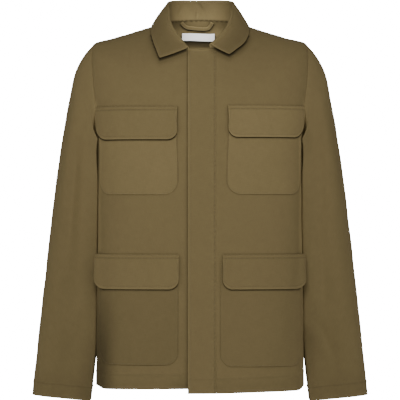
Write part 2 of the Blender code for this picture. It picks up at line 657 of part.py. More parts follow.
def build_patch(row, heights, out_at, thickness):
    """A patch sewn on a front: its points are the front's own, moved out."""
    patch = dict(zip(PATCH_COLUMNS, row))
    edges = (patch["inner"], patch["outer"], patch["inner_radius"], patch["outer_radius"])
    across = patch_columns(*edges)
    bottom = patch["bottom_z"] + rounded_bottom(across, *edges)
    z = patch["top_z"] + (bottom - patch["top_z"])[None, :] * heights[:, None]
    turn = np.broadcast_to(turn_across(across, patch["side"])[None, :], z.shape)
    down = down_at_z(turn, z, "front")
    layer = body_surface(turn, down, "front", out_at(z, patch) + overhang(across, patch))
    if patch["side"] < 0:
        layer = layer[:, ::-1]
    cloth_wall(patch["name"], layer, thickness, TWILL)


def overhang(across, patch):
    """The widest flaps run straight on where the body rounds back, over the sleeve's inner edge."""
    if patch["outer"] < OVERHANG_X:
        return np.zeros(across.shape)
    return OVERHANG * ease((across - patch["outer"] + OVERHANG_WIDTH) / OVERHANG_WIDTH)**2


def pocket_out(z, patch):
    """A pocket lies flat on the panel."""
    return np.full(z.shape, CLOTH / 2 + LAYER_GAP + CLOTH / 2)


def flap_out(z, patch):
    """A flap lies on the panel at its seam and rises over the pocket under it."""
    on_panel = CLOTH / 2 + LAYER_GAP + TWO_LAYERS / 2
    over_pocket = CLOTH + LAYER_GAP + FLAP_EASE
    return on_panel + over_pocket * ease((patch["top_z"] - FLAP_SEAM + FLAP_STEP - z) / FLAP_STEP)


def build_patches():
    """Four patch pockets and the four flaps over them."""
    for row in POCKETS:
        build_patch(row, np.linspace(0.0, 1.0, 6), pocket_out, CLOTH)
    tops = column(FLAPS, PATCH_COLUMNS, "top_z")
    depths = tops - column(FLAPS, PATCH_COLUMNS, "bottom_z")
    for row, depth in zip(FLAPS, depths):
        heights = np.array([0.0, (FLAP_SEAM - FLAP_STEP) / depth, FLAP_SEAM / depth, FLAP_MIDDLE, 1.0])
        build_patch(row, heights, flap_out, TWO_LAYERS)


def inside_back(x, z, stand):
    """Point inside the back at a height, standing off its inner face."""
    down = np.full(np.shape(x), 0.01)
    for _ in range(12):
        turn = turn_at_x(x, down, "back")
        down = down_at_z(turn, z, "back")
    return body_surface(turn, down, "back", -(CLOTH / 2 + stand))


def build_loop():
    """Ribbon loop hanging from the neck seam inside the back."""
    x = column(LOOP_PATH, LOOP_COLUMNS, "x")
    z = column(LOOP_PATH, LOOP_COLUMNS, "z")
    stand = LAYER_GAP + LOOP_CLOTH / 2 + LOOP_STAND * np.sin(math.pi * np.linspace(0, 1, len(x)))
    way = np.stack((np.gradient(x), np.gradient(z)), axis=-1)
    way = way / np.linalg.norm(way, axis=-1, keepdims=True)
    sheets = []
    for half in (-0.5, 0.0, 0.5):
        across_x = x - way[:, 1] * half * LOOP_WIDTH
        across_z = z + way[:, 0] * half * LOOP_WIDTH
        sheets.append(inside_back(across_x, across_z, stand))
    cloth_wall("hanger_loop", np.stack(sheets, axis=0)[::-1], LOOP_CLOTH, TWILL_INSIDE)


def build_label():
    """Bare woven label sewn inside the back, under the loop."""
    x = np.linspace(LABEL_LEFT, LABEL_RIGHT, 8)
    z = np.linspace(LABEL_TOP, LABEL_BOTTOM, 3)
    grid_x = np.repeat(x[None, :], len(z), axis=0)
    grid_z = np.repeat(z[:, None], len(x), axis=1)
    stand = np.full(grid_x.shape, LABEL_STAND + LABEL_CLOTH / 2)
    cloth_wall("neck_label", inside_back(grid_x, grid_z, stand), LABEL_CLOTH, LABEL_WHITE)


clear_scene()
build_front("front_left", 1, FRONT_LEFT_X, 0.0)
build_front("front_right", -1, FRONT_RIGHT_X, RIGHT_FRONT_LIFT)
build_back()
build_sleeve("sleeve_left", 1)
build_sleeve("sleeve_right", -1)
build_collar()
build_placket()
build_patches()
build_loop()
build_label()
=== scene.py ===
"""Olive cotton twill overshirt in its worn form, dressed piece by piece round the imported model.

Metres, +Z up. The front faces -Y and the wearer's left is +X. The origin is the middle of the neck.
"""
import math

import bpy
import numpy as np
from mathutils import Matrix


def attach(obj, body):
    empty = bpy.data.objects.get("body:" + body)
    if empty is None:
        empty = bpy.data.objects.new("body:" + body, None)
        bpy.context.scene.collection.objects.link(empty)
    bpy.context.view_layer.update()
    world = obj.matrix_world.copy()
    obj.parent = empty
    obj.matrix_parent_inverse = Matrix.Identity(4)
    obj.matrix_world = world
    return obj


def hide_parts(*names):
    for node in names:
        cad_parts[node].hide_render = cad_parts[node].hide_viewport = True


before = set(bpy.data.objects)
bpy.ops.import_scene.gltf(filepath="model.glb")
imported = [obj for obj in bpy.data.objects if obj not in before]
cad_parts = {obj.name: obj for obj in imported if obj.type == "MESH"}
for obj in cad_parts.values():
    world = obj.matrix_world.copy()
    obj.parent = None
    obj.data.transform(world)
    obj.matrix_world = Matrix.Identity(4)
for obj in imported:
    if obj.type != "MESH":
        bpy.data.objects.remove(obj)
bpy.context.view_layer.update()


# ==== The back ================================================================
# One plain panel of cotton twill from shoulder to hem. It is cut wider than the body, so it carries the largest soft
# folds. Its shape is a row of rings from the neck seam to the hem, and the fronts and sleeves share those rings.

CLOTH = 0.0011
HEM_CLOTH = 0.0021
SEAM_GAP = 0.0003
HEM_Z = -0.6915
HEM_TURN = 0.028
SIDE_LIFT = 0.0030
CORNER_LIFT = 0.0055      # the hem rounds up this much more toward the side seams
RING_COLUMNS = ("down", "half_width", "front_depth", "back_depth", "side_z", "front_z", "back_z",
                "front_power", "back_power", "tilt_power")
RINGS = (
    (0.000, 0.0780, 0.0850, 0.0750, 0.0070, -0.0468, 0.0180, 2.10, 2.10, 1.15),
    (0.045, 0.1210, 0.0990, 0.0940, -0.0063, -0.0800, -0.0060, 2.05, 2.05, 1.30),
    (0.090, 0.1640, 0.1080, 0.1070, -0.0195, -0.1130, -0.0450, 2.05, 2.05, 1.60),
    (0.130, 0.2023, 0.1125, 0.1125, -0.0311, -0.1420, -0.0850, 2.15, 2.15, 1.80),
    (0.180, 0.2150, 0.1145, 0.1155, -0.0760, -0.1720, -0.1300, 2.40, 2.35, 1.80),
    (0.250, 0.2090, 0.1155, 0.1165, -0.1420, -0.2080, -0.1800, 2.80, 2.60, 1.80),
    (0.335, 0.1992, 0.1155, 0.1160, -0.2350, -0.2580, -0.2500, 3.25, 2.80, 1.80),
    (0.450, 0.1968, 0.1150, 0.1140, -0.3500, -0.3520, -0.3520, 3.40, 2.80, 1.80),
    (0.620, 0.1975, 0.1155, 0.1140, -0.5200, -0.5200, -0.5200, 3.40, 2.80, 1.80),
    (0.7915, 0.1985, 0.1160, 0.1150, HEM_Z, HEM_Z, HEM_Z, 3.40, 2.80, 1.80),
)
SHOULDER_POINT = 0.130
ARMPIT = 0.335
WAIST = 0.550
HEM_DOWN = 0.7915
ARMHOLE_SHARE = {"front": 0.50, "back": 0.70}
ARMHOLE_ROUNDING = 0.55
SEAM_DEPTH = 0.0007       # how far a seam draws the cloth in
SEAM_REACH = 0.0035
EDGE_ROUNDING = 0.8       # a wall's edge stands out by this share of half its thickness
STITCH_LENGTH = 0.0024
STITCH_WIDTH = 0.00030
STITCH_HEIGHT = 0.00022
STITCH_UNEVEN = 0.12      # stitches fall out of step by up to this share of their pitch
GROOVE_DEPTH = 0.00045    # the hem's stitch line sinks in this much
HEM_RISE = 0.00035        # the cloth below it stands this much proud
GROOVE_WIDTH = 0.0022
OLIVE = (0.176, 0.134, 0.060)
MOTTLE = 0.10
SHEEN_TINT = (0.75, 0.60, 0.30, 1.0)
FOLD_COLUMNS = ("turn", "along", "wide", "long", "lean", "out")
FOLDS = {
    "back": (
        (62.0, 0.640, 9.0, 0.20, 20.0, 0.0042),
        (83.0, 0.600, 8.0, 0.22, -8.0, -0.0038),
        (112.0, 0.660, 9.0, 0.18, -18.0, 0.0042),
        (132.0, 0.560, 8.0, 0.16, 14.0, -0.0032),
        (90.0, 0.170, 16.0, 0.09, 0.0, -0.0020),
        (38.0, 0.400, 5.0, 0.08, 18.0, -0.0022),
        (144.0, 0.410, 5.0, 0.09, -20.0, -0.0022),
        (70.0, 0.330, 6.0, 0.07, -16.0, 0.0014),
        (108.0, 0.350, 6.0, 0.08, 12.0, 0.0014),
    ),
    "front": (
        (38.0, 0.640, 6.0, 0.16, 6.0, -0.0016),
        (140.0, 0.650, 6.0, 0.15, -6.0, -0.0016),
        (70.0, 0.420, 8.0, 0.10, 8.0, 0.0012),
        (113.0, 0.400, 8.0, 0.10, -8.0, 0.0012),
        (77.5, 0.330, 2.4, 0.07, 0.0, -0.0013),
        (146.0, 0.715, 4.0, 0.05, 3.0, -0.0030),
        (128.0, 0.690, 5.0, 0.06, -3.0, 0.0012),
    ),
}
RIPPLE_WAVES = ((61.0, 17.0, 0.9), (-38.0, 44.0, 2.1), (97.0, -31.0, 4.0), (23.0, 83.0, 5.2), (142.0, 52.0, 1.3))


def table_curve(table, columns, name, at):
    """Cubic Hermite curve through one named column, with slopes from its neighbours, read at the first column."""
    rows = np.array(table, dtype=float)
    where, value = rows[:, 0], rows[:, columns.index(name)]
    slope = np.gradient(value, where)
    at = np.clip(np.asarray(at, dtype=float), where[0], where[-1])
    left = np.clip(np.searchsorted(where, at, side="right") - 1, 0, len(where) - 2)
    span = where[left + 1] - where[left]
    u = (at - where[left]) / span
    start = (2 * u**3 - 3 * u**2 + 1) * value[left] + (u**3 - 2 * u**2 + u) * span * slope[left]
    end = (3 * u**2 - 2 * u**3) * value[left + 1] + (u**3 - u**2) * span * slope[left + 1]
    return start + end


def soft_step(value, start=0.0, over=1.0):
    """Rises smoothly from 0 at start to 1 after a distance: 3u^2 - 2u^3, where u = (value - start) / over."""
    u = np.clip((value - start) / over, 0.0, 1.0)
    return u * u * (3.0 - 2.0 * u)


def bell(value, middle, width):
    """Bell curve: exp(-u^2), where u = (value - middle) / width."""
    return np.exp(-((value - middle) / width)**2)


def unit(vectors):
    """Vectors brought to length 1."""
    return vectors / np.maximum(np.linalg.norm(vectors, axis=-1, keepdims=True), 1e-12)


def folds_at(table, turn, along):
    """Sum of leaning bell-shaped troughs and ridges, one for each row: out * exp(-across^2 - run^2)."""
    move = np.zeros(np.broadcast(turn, along).shape)
    for row in table:
        fold = dict(zip(FOLD_COLUMNS, row))
        run = (along - fold["along"]) / fold["long"]
        across = (turn - fold["turn"] - fold["lean"] * run) / fold["wide"]
        move = move + fold["out"] * np.exp(-across**2 - run**2)
    return move


def ripple(x, z, size):
    """Faint unevenness of pressed cloth: a sum of slow sine waves that cross at odd angles, bent by one another."""
    wave = np.zeros(np.broadcast(x, z).shape)
    for across, up, start in RIPPLE_WAVES:
        bend = 0.8 * np.sin(0.37 * across * z - 0.29 * up * x + 2 * start)
        wave = wave + np.sin(across * x + up * z + start + bend)
    return size * wave / len(RIPPLE_WAVES)


def ring_value(name, down):
    """One size of the body's rings at a distance down from the neck seam."""
    return table_curve(RINGS, RING_COLUMNS, name, down)


def body_layer(turn, down, face):
    """Rounded-box ring: reach = (|cos|^n + |sin|^n)^(-1/n), so x and y go round, and z dips toward the middle."""
    power = ring_value(face + "_power", down)
    forth = np.abs(np.sin(turn))
    reach = (np.abs(np.cos(turn))**power + forth**power)**(-1.0 / power)
    share = reach * forth
    side_z = ring_value("side_z", down)
    z = side_z + (ring_value(face + "_z", down) - side_z) * share**ring_value("tilt_power", down)
    y = ring_value(face + "_depth", down) * share * (-1.0 if face == "front" else 1.0)
    return np.stack(np.broadcast_arrays(ring_value("half_width", down) * reach * np.cos(turn), y, z), axis=-1)


def body_out(turn, down, face):
    """Outward direction: cross product of a small step round the ring and a small step down."""
    step_turn, step_down = 1e-4, 1e-5
    turn = np.clip(turn, 2 * step_turn, math.pi - 2 * step_turn)
    inside = np.clip(down, step_down, HEM_DOWN - step_down)
    round_way = body_layer(turn + step_turn, inside, face) - body_layer(turn - step_turn, inside, face)
    down_way = body_layer(turn, inside + step_down, face) - body_layer(turn, inside - step_down, face)
    return unit(np.cross(round_way, down_way)) * (1.0 if face == "front" else -1.0)


def body_cloth(turn, down, face, out=0.0, uneven=0.00045):
    """The ring's layer moved out by its folds, its faint ripple and a given distance."""
    turn, down, out = np.broadcast_arrays(turn, down, out)
    layer = body_layer(turn, down, face)
    move = folds_at(FOLDS[face], np.degrees(turn), down) + out + ripple(layer[..., 0], layer[..., 2], uneven)
    return layer + body_out(turn, down, face) * move[..., None]


def turn_for_share(share, down, face):
    """Turn from the side at which the ring has reached a share of its whole depth."""
    power = ring_value(face + "_power", down)
    share = np.clip(share, 1e-4, 0.9999)
    return math.pi / 2 - np.arctan((share**-power - 1.0)**(1.0 / power))


def armhole_turn(down, face):
    """Turn of the armhole's edge: depth share = deepest * sin(pi * run)^rounding between shoulder and armpit."""
    run = np.clip((down - SHOULDER_POINT) / (ARMPIT - SHOULDER_POINT), 0.0, 1.0)
    share = ARMHOLE_SHARE[face] * np.sin(math.pi * run)**ARMHOLE_ROUNDING
    return np.where((run > 0) & (run < 1), turn_for_share(share, down, face), 0.0)


def over_columns(values, columns):
    """Grid in which each row holds one value."""
    return np.repeat(values[:, None], columns, axis=1)


def hem_rise(down):
    """How far a row has come from the waist toward the hem."""
    return soft_step(down, WAIST, HEM_DOWN - WAIST)


def side_lift(shares):
    """How much higher the hem hangs at shares of the way from a panel's middle to its side seam."""
    return SIDE_LIFT * shares**4 + CORNER_LIFT * soft_step(shares, 0.70, 0.14)


def panel_rows(shoulder, armhole, below):
    """Distances down of a panel's rows: even over the shoulder, crowding at both ends of the armhole, even below."""
    over = np.linspace(0.0, SHOULDER_POINT, shoulder + 1)
    beside = SHOULDER_POINT + (ARMPIT - SHOULDER_POINT) * (1 - np.cos(np.linspace(0, math.pi, armhole + 1)[1:])) / 2
    above_hem = HEM_DOWN - 1.4 * HEM_TURN
    under = np.linspace(ARMPIT, above_hem, below + 1)[1:]
    hem = np.linspace(above_hem, HEM_DOWN, 34)[1:]
    return np.concatenate((over, beside, under, hem))


BACK_ROWS = panel_rows(26, 50, 100)


def grid_out(layer):
    """Normals of a grid: cross product of its steps along rows and across columns."""
    return unit(np.cross(np.gradient(layer, axis=0), np.gradient(layer, axis=1)))


def raised(layer, move):
    """Grid moved along its own normals."""
    return layer + grid_out(layer) * move[..., None]


def quads(first, second, closed=False):
    """Quads between two lines of vertex numbers that run the same way."""
    if closed:
        first, second = np.append(first, first[:1]), np.append(second, second[:1])
    return np.stack((first[..., :-1], second[..., :-1], second[..., 1:], first[..., 1:]), axis=-1).reshape(-1, 4)


def flat_cut(layer):
    """Flat cut of a grid of points: lengths on the cloth, across from its middle column and along from its top."""
    across = np.cumsum(np.linalg.norm(np.diff(layer, axis=1), axis=-1), axis=1)
    along = np.cumsum(np.linalg.norm(np.diff(layer, axis=0), axis=-1), axis=0)
    u = np.concatenate((np.zeros((layer.shape[0], 1)), across), axis=1)
    v = np.concatenate((np.zeros((1, layer.shape[1])), along), axis=0)
    middle = u.shape[1] // 2
    return u - u[:, middle:middle + 1], v


def edge_distance(layer, edges):
    """Distance on the cloth to the nearest of the named edges: top, bottom, first or last column."""
    u, v = flat_cut(layer)
    ways = {"top": v, "bottom": v[-1:] - v, "first": u - u[:, :1], "last": u[:, -1:] - u}
    return np.minimum.reduce([ways[edge] for edge in edges])


def pucker(along, start):
    """Uneven gathers along a line of sewing: two sine waves of different lengths, the slower bending the faster."""
    return np.sin(along * 690.0 + start + 1.9 * np.sin(along * 83.0 + start)) * (0.6 + 0.4 * np.sin(along * 131.0))


def sewing(layer, edges, inset, width, uneven, start):
    """Bell curve across a line of sewing inside some edges, higher by an uneven share at each pucker."""
    u, v = flat_cut(layer)
    return bell(edge_distance(layer, edges), inset, width) * (1 + uneven * pucker(u + v, start))


def sewn_edges(layer, edges):
    """Cloth drawn in toward its seams."""
    return raised(layer, -SEAM_DEPTH * sewing(layer, edges, 0.0, SEAM_REACH, 0.35, 0.7))


def seam_shade(layer, edges, inset, strength, width=0.0011):
    """Shade along a line of sewing, a little deeper at each pucker."""
    return 1 - strength * sewing(layer, edges, inset, width, 0.4, 0.9)


def new_mesh(name, points, faces):
    """Smooth mesh from a point array and an array of quads; a quad that names a point twice is a triangle."""
    mesh = bpy.data.meshes.new(name)
    mesh.from_pydata(points.tolist(), [], [tuple(dict.fromkeys(face)) for face in faces.tolist()])
    mesh.shade_smooth()
    return mesh


def placed(name, mesh, finish, node=None):
    """Object for a finished mesh, riding on the garment's one body and standing for its CAD node."""
    mesh.materials.append(finish)
    piece = bpy.data.objects.new(name, mesh)
    bpy.context.collection.objects.link(piece)
    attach(piece, "root")
    if node:
        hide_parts(node)
    return piece


def cloth_piece(name, layer, thickness, finish, node, edge_width=0.004, shade=1.0):
    """Thin closed wall: the grid moved half its thickness to each side, with a rounded edge all round.

    The mesh carries its flat cut as a UV map in metres. Two attributes of its points say how near each is to an edge
    and how much painted light and shade scales its colour.
    """
    rows, columns = layer.shape[:2]
    out = grid_out(layer)
    half = np.broadcast_to(np.asarray(thickness, dtype=float) / 2, (rows, columns))[..., None]
    count = rows * columns
    number = np.arange(count).reshape(rows, columns)
    loop = np.concatenate((number[0, ::-1], number[1:, 0], number[-1, 1:], number[-2:0:-1, -1]))
    past = np.concatenate(((layer[0] * 2 - layer[1])[::-1], (layer[:, 0] * 2 - layer[:, 1])[1:],
                           (layer[-1] * 2 - layer[-2])[1:], (layer[:, -1] * 2 - layer[:, -2])[-2:0:-1]))
    edge_points = layer.reshape(-1, 3)[loop]
    edge_points = edge_points + unit(past - edge_points) * half.reshape(-1, 1)[loop] * EDGE_ROUNDING
    rim = np.arange(2 * count, 2 * count + len(loop))
    points = np.concatenate(((layer + out * half).reshape(-1, 3), (layer - out * half).reshape(-1, 3), edge_points))
    face = quads(number[:-1], number[1:])
    faces = np.concatenate((face, face[:, ::-1] + count, quads(loop, rim, True), quads(rim, loop + count, True)))
    mesh = new_mesh(name, points, faces)
    source = np.concatenate((np.arange(count), np.arange(count), loop))
    cut = np.stack(flat_cut(layer), axis=-1).reshape(-1, 2)[source]
    mesh.uv_layers.new(name="cut").data.foreach_set("uv", cut[faces.ravel()].astype(np.float32).ravel())
    near = np.exp(-edge_distance(layer, ("top", "bottom", "first", "last")) / edge_width)
    for kept, values in (("edge", near), ("shade", np.broadcast_to(shade, (rows, columns)))):
        values = values.reshape(-1)[source].astype(np.float32)
        mesh.attributes.new(kept, "FLOAT", "POINT").data.foreach_set("value", values)
    return placed(name, mesh, finish, node)


def stitches(name, lines, finish, pitch=0.0032):
    """Rows of topstitches: each is a small bead, pointed at both ends, laid along its line on the cloth.

    A line is (points, outward normals). Beads lie every pitch along it; a bead is three square rings and two tips.
    """
    rings = ((-0.30, 0.75), (0.0, 1.0), (0.30, 0.75))
    corners = ((1.0, 0.0), (0.0, 1.0), (-1.0, 0.0), (0.0, -1.0))
    bead = [(-0.5, 0.0, 0.0)] + [(a, c * s, d * s) for a, s in rings for c, d in corners] + [(0.5, 0.0, 0.0)]
    bead = np.array(bead) * (STITCH_LENGTH, STITCH_WIDTH, STITCH_HEIGHT)
    links = [(0, 1 + j, 1 + (j + 1) % 4, 0) for j in range(4)]
    links += [(1 + 4 * i + j, 5 + 4 * i + j, 5 + 4 * i + (j + 1) % 4, 1 + 4 * i + (j + 1) % 4)
              for i in range(2) for j in range(4)]
    links += [(9 + j, 13, 13, 9 + (j + 1) % 4) for j in range(4)]
    points = []
    for path, outs in lines:
        run = np.concatenate(([0.0], np.cumsum(np.linalg.norm(np.diff(path, axis=0), axis=1))))
        at = np.arange(pitch / 2, run[-1] - pitch / 3, pitch)
        at = at + STITCH_UNEVEN * pitch * np.sin(at * 2900.0)
        centre, ahead, out = (np.stack([np.interp(place, run, values[:, k]) for k in range(3)], axis=-1)
                              for place, values in ((at, path), (at + pitch / 3, path), (at, outs)))
        ahead = unit(ahead - centre)
        aside = unit(np.cross(out, ahead))
        axes = np.stack((ahead, aside, np.cross(ahead, aside)), axis=1)
        points.append((centre[:, None] + bead @ axes).reshape(-1, 3))
    points = np.concatenate(points)
    starts = np.arange(0, len(points), len(bead))
    faces = (np.array(links)[None] + starts[:, None, None]).reshape(-1, 4)
    return placed(name, new_mesh(name, points, faces), finish)


def on_cloth(layer, thickness, row, column):
    """Line on a piece's outer face at fractional rows and columns of its grid, with its normals."""
    row, column = np.broadcast_arrays(np.asarray(row, dtype=float), np.asarray(column, dtype=float))
    i = np.clip(row.astype(int), 0, layer.shape[0] - 2)
    j = np.clip(column.astype(int), 0, layer.shape[1] - 2)
    a, b = (row - i)[:, None], (column - j)[:, None]
    points, normals = ((grid[i, j] * (1 - b) + grid[i, j + 1] * b) * (1 - a)
                       + (grid[i + 1, j] * (1 - b) + grid[i + 1, j + 1] * b) * a for grid in (layer, grid_out(layer)))
    return points + normals * thickness / 2, normals


def feed(tree, socket, value):
    """Gives a shader socket a fixed value, or a link where the value is another node's socket."""
    if isinstance(value, bpy.types.NodeSocket):
        tree.links.new(value, socket)
    else:
        socket.default_value = value


def shader_node(tree, kind, inputs=None, **settings):
    """One shader node with its settings, and with its inputs fed by name or place."""
    made = tree.nodes.new("ShaderNode" + kind)
    for name, value in settings.items():
        setattr(made, name, value)
    for name, value in (inputs or {}).items():
        feed(tree, made.inputs[name], value)
    return made


def stretched_noise(tree, vector, stretch, scale=1.0, detail=2.0):
    """Noise read on coordinates stretched differently each way."""
    sized = shader_node(tree, "Mapping", {"Vector": vector, "Scale": stretch})
    return shader_node(tree, "TexNoise", {"Vector": sized.outputs[0], "Scale": scale, "Detail": detail}).outputs["Fac"]


def twill_group():
    """Shader group for the cloth. Diagonal ribs: sine of (u + v) / pitch. Slubs: noise drawn out along each yarn.

    Mottle is slow noise over the whole garment; rubbed edges and shade come from the mesh's own attributes.
    """
    tree = bpy.data.node_groups.new("twill_weave", "ShaderNodeTree")
    for name, kind, way in (("Cut", "Vector", "INPUT"), ("Place", "Vector", "INPUT"), ("Edge", "Float", "INPUT"),
                            ("Shade", "Float", "INPUT"), ("Color", "Color", "INPUT"), ("Rubbed", "Float", "INPUT"),
                            ("Mottle", "Float", "INPUT"), ("Pitch", "Float", "INPUT"), ("Color", "Color", "OUTPUT"),
                            ("Height", "Float", "OUTPUT"), ("Roughness", "Float", "OUTPUT")):
        tree.interface.new_socket(name, in_out=way, socket_type="NodeSocket" + kind)
    given, result = tree.nodes.new("NodeGroupInput").outputs, tree.nodes.new("NodeGroupOutput").inputs

    def reckon(operation, *values):
        return shader_node(tree, "Math", dict(enumerate(values)), operation=operation).outputs[0]

    split = shader_node(tree, "SeparateXYZ", {0: given["Cut"]})
    turns = reckon("DIVIDE", reckon("ADD", split.outputs[0], split.outputs[1]), given["Pitch"])
    rib = reckon("SINE", reckon("MULTIPLY", turns, 2 * math.pi))
    slub = reckon("ADD", stretched_noise(tree, given["Cut"], (1500.0, 90.0, 1.0)),
                  stretched_noise(tree, given["Cut"], (80.0, 1300.0, 1.0)))
    mottle = stretched_noise(tree, given["Place"], (1.0, 1.0, 0.7), 9.0, 4.0)
    fine_mottle = stretched_noise(tree, given["Place"], (1.0, 1.0, 1.0), 70.0, 3.0)
    gain = reckon("MULTIPLY", given["Edge"], given["Rubbed"])
    for pattern, middle, share in ((mottle, 0.5, given["Mottle"]), (fine_mottle, 0.5, 0.10), (slub, 1.0, 0.22),
                                   (rib, 0.0, 0.05)):
        gain = reckon("MULTIPLY_ADD", reckon("SUBTRACT", pattern, middle), share, gain)
    gain = reckon("MULTIPLY", reckon("ADD", gain, 1.0), given["Shade"])
    tinted = shader_node(tree, "VectorMath", {0: given["Color"], "Scale": gain}, operation="SCALE")
    feed(tree, result["Color"], tinted.outputs[0])
    feed(tree, result["Height"], reckon("MULTIPLY_ADD", rib, 0.30, reckon("MULTIPLY", slub, 0.6)))
    feed(tree, result["Roughness"], reckon("MULTIPLY_ADD", slub, 0.10, 0.80))
    return tree


TWILL_WEAVE = twill_group()


def finish_with(name, look=lambda tree: {}, **constants):
    """Material whose Principled shader is fed by a look, a function of its node tree, and by constants."""
    made = bpy.data.materials.new(name)
    made.use_nodes = True
    tree = made.node_tree
    for socket, value in (look(tree) | constants).items():
        feed(tree, tree.nodes["Principled BSDF"].inputs[socket.replace("_", " ")], value)
    return made


def bumped(tree, height, strength, distance):
    """Normal of a surface raised by a height."""
    return shader_node(tree, "Bump", {"Strength": strength, "Distance": distance, "Height": height}).outputs["Normal"]


def two_tone(tree, share, dark, light):
    """Colour between two tones."""
    ramp = shader_node(tree, "ValToRGB", {"Fac": share})
    for element, colour in zip(ramp.color_ramp.elements, (dark, light)):
        element.color = colour
    return ramp.outputs["Color"]


def twill(name, tone=1.0, rubbed=0.14, pitch=0.0011):
    """Cotton twill for one piece: the shared weave over olive, scaled lighter or darker by the piece's painted light
    and shade.
    """
    def weave_of(tree):
        edge, shade = (shader_node(tree, "Attribute", attribute_name=kept).outputs["Fac"] for kept in ("edge", "shade"))
        weave = shader_node(tree, "Group", node_tree=TWILL_WEAVE)
        for socket, value in (("Cut", shader_node(tree, "UVMap", uv_map="cut").outputs["UV"]),
                              ("Place", shader_node(tree, "TexCoord").outputs["Object"]), ("Edge", edge),
                              ("Shade", shade), ("Color", (*(part * tone for part in OLIVE), 1.0)),
                              ("Rubbed", rubbed), ("Mottle", MOTTLE), ("Pitch", pitch)):
            feed(tree, weave.inputs[socket], value)
        return {"Base Color": weave.outputs["Color"], "Roughness": weave.outputs["Roughness"],
                "Normal": bumped(tree, weave.outputs["Height"], 0.35, 0.0002)}
    return finish_with(name, weave_of, Sheen_Weight=0.04, Sheen_Roughness=0.5, Sheen_Tint=SHEEN_TINT,
                       Specular_IOR_Level=0.10)


def thread_colour(tree):
    """Matte twisted polyester: fine noise between two tones a little lighter and darker than the cloth."""
    place = shader_node(tree, "TexCoord").outputs["Object"]
    bands = shader_node(tree, "TexNoise", {"Vector": place, "Scale": 900.0}).outputs["Fac"]
    return {"Base Color": two_tone(tree, bands, (0.120, 0.092, 0.040, 1.0), (0.200, 0.156, 0.074, 1.0))}


THREAD = finish_with("olive_thread", thread_colour, Roughness=0.6)


def turned_up(layer, past, start=0.2):
    """Turned-up cloth stands a little proud past its stitch line, and the line itself sinks in unevenly."""
    u, _ = flat_cut(layer)
    groove = GROOVE_DEPTH * bell(past, 0.0, GROOVE_WIDTH) * (1 + 0.5 * pucker(u, start))
    swell = HEM_RISE * soft_step(past, 0.0, 3 * GROOVE_WIDTH) * (1 + 0.4 * pucker(u * 0.45, start + 0.9))
    return raised(layer, swell - groove)


def past_hem_line(rows, columns):
    """Grid of distances past the hem's stitch line, for a panel's rows."""
    return over_columns(rows - (HEM_DOWN - HEM_TURN), columns)


def turned_piece(node, part, edge, layer, past, shade, **cut):
    """A panel or tube whose lower edge is turned up and stitched: its cloth is doubled past the stitch line."""
    piece = cloth_piece(f"{node}_{part}", layer, np.where(past > 0, HEM_CLOTH, CLOTH), twill(node + "_twill"), node,
                        shade=shade)
    row = np.interp(0.0, past[:, 0], np.arange(len(past)))
    line = on_cloth(layer, HEM_CLOTH, row, np.arange(2, layer.shape[1] - 2))
    sewn = stitches(f"{node}_{edge}_stitches", [line], THREAD)
    return piece


def back_layer():
    """The back from one side seam or armhole to the other: turn = 90 degrees -/+ share of the way to its edge."""
    shares = np.linspace(-1.0, 1.0, 151)
    seam = SEAM_GAP / 2 / ring_value("back_depth", BACK_ROWS)
    outer = np.maximum(armhole_turn(BACK_ROWS, "back"), seam)
    turn = math.pi / 2 - (math.pi / 2 - outer)[:, None] * shares[None, :]
    down = over_columns(BACK_ROWS, len(shares))
    lift = side_lift(np.abs(shares))[None, :] * hem_rise(down)
    layer = body_cloth(turn, down - lift, "back", uneven=0.0008)[:, ::-1]
    layer = turned_up(layer, BACK_PAST)
    return sewn_edges(layer, ("top", "first", "last"))


BACK_PAST = past_hem_line(BACK_ROWS, 151)
BACK_LAYER = back_layer()
back = turned_piece("back", "panel", "hem", BACK_LAYER, BACK_PAST,
                    seam_shade(BACK_LAYER, ("top",), 0.0, 0.55, 0.0022)
                    * seam_shade(BACK_LAYER, ("bottom",), HEM_TURN, 0.10),
                    flat=(0.60, 0.74), area=0.37, rests_on=["collar"])


# ==== The two fronts ==========================================================
# Each front runs from the opening to the side seam, the armhole and the shoulder seam. The wearer's right one lies
# under the fly and hangs a little higher. Pressed flat over the chest, it rounds back at the side.

FRONT_LEFT_X = 0.0235
FRONT_RIGHT_X = 0.0200
RIGHT_FRONT_LIFT = 0.0062
BAND_SEAM_X = 0.0290
CENTRE_DROP = 0.0033      # the left front and its band hang this much lower at the middle
CENTRE_DROP_WIDTH = 0.165
UNDER_BAND = 0.0011       # the left front sinks this much where the fly is sewn over it
FRONT_GRID = np.concatenate((np.linspace(0.036, 0.189, 62), np.linspace(0.1915, 0.252, 26)))
FRONT_KEPT = 0.189
MEASURED_DOWN = 0.52
# Painted light and shade on the fronts: painted light between the sleeves, painted shade low on the wearer's right side
# and along the hem, each coming in over one of the zones below.
SIDE_PAINTED_LIGHT = 0.75
RIGHT_PAINTED_SHADE = 0.55
HEM_PAINTED_SHADE = 0.16
HEM_DARK_X = -0.032
PAINTED_LIGHT_ZONES = {           # where each zone begins along its direction, and over how much it comes in
    "below_shoulder": (0.13, 0.04), "above_waist": (-0.27, 0.04), "between_sleeves": (0.184, 0.012),
    "below_armpit": (0.18, 0.05), "low": (0.38, 0.14), "right_side": (0.150, 0.040), "right_low": (0.44, 0.20),
    "hem": (0.655, 0.03),
}
MEETING_WIDTH = 0.012
ROWS = panel_rows(36, 66, 130)


def measured_front():
    """Distance round the front from its middle against turn, by adding up short chords."""
    turn = np.linspace(math.pi / 2, 0.0, 2000)
    ring = body_layer(turn, np.full(turn.shape, MEASURED_DOWN), "front")
    steps = np.linalg.norm(np.diff(ring, axis=0), axis=1)
    return np.concatenate(([0.0], np.cumsum(steps))), turn


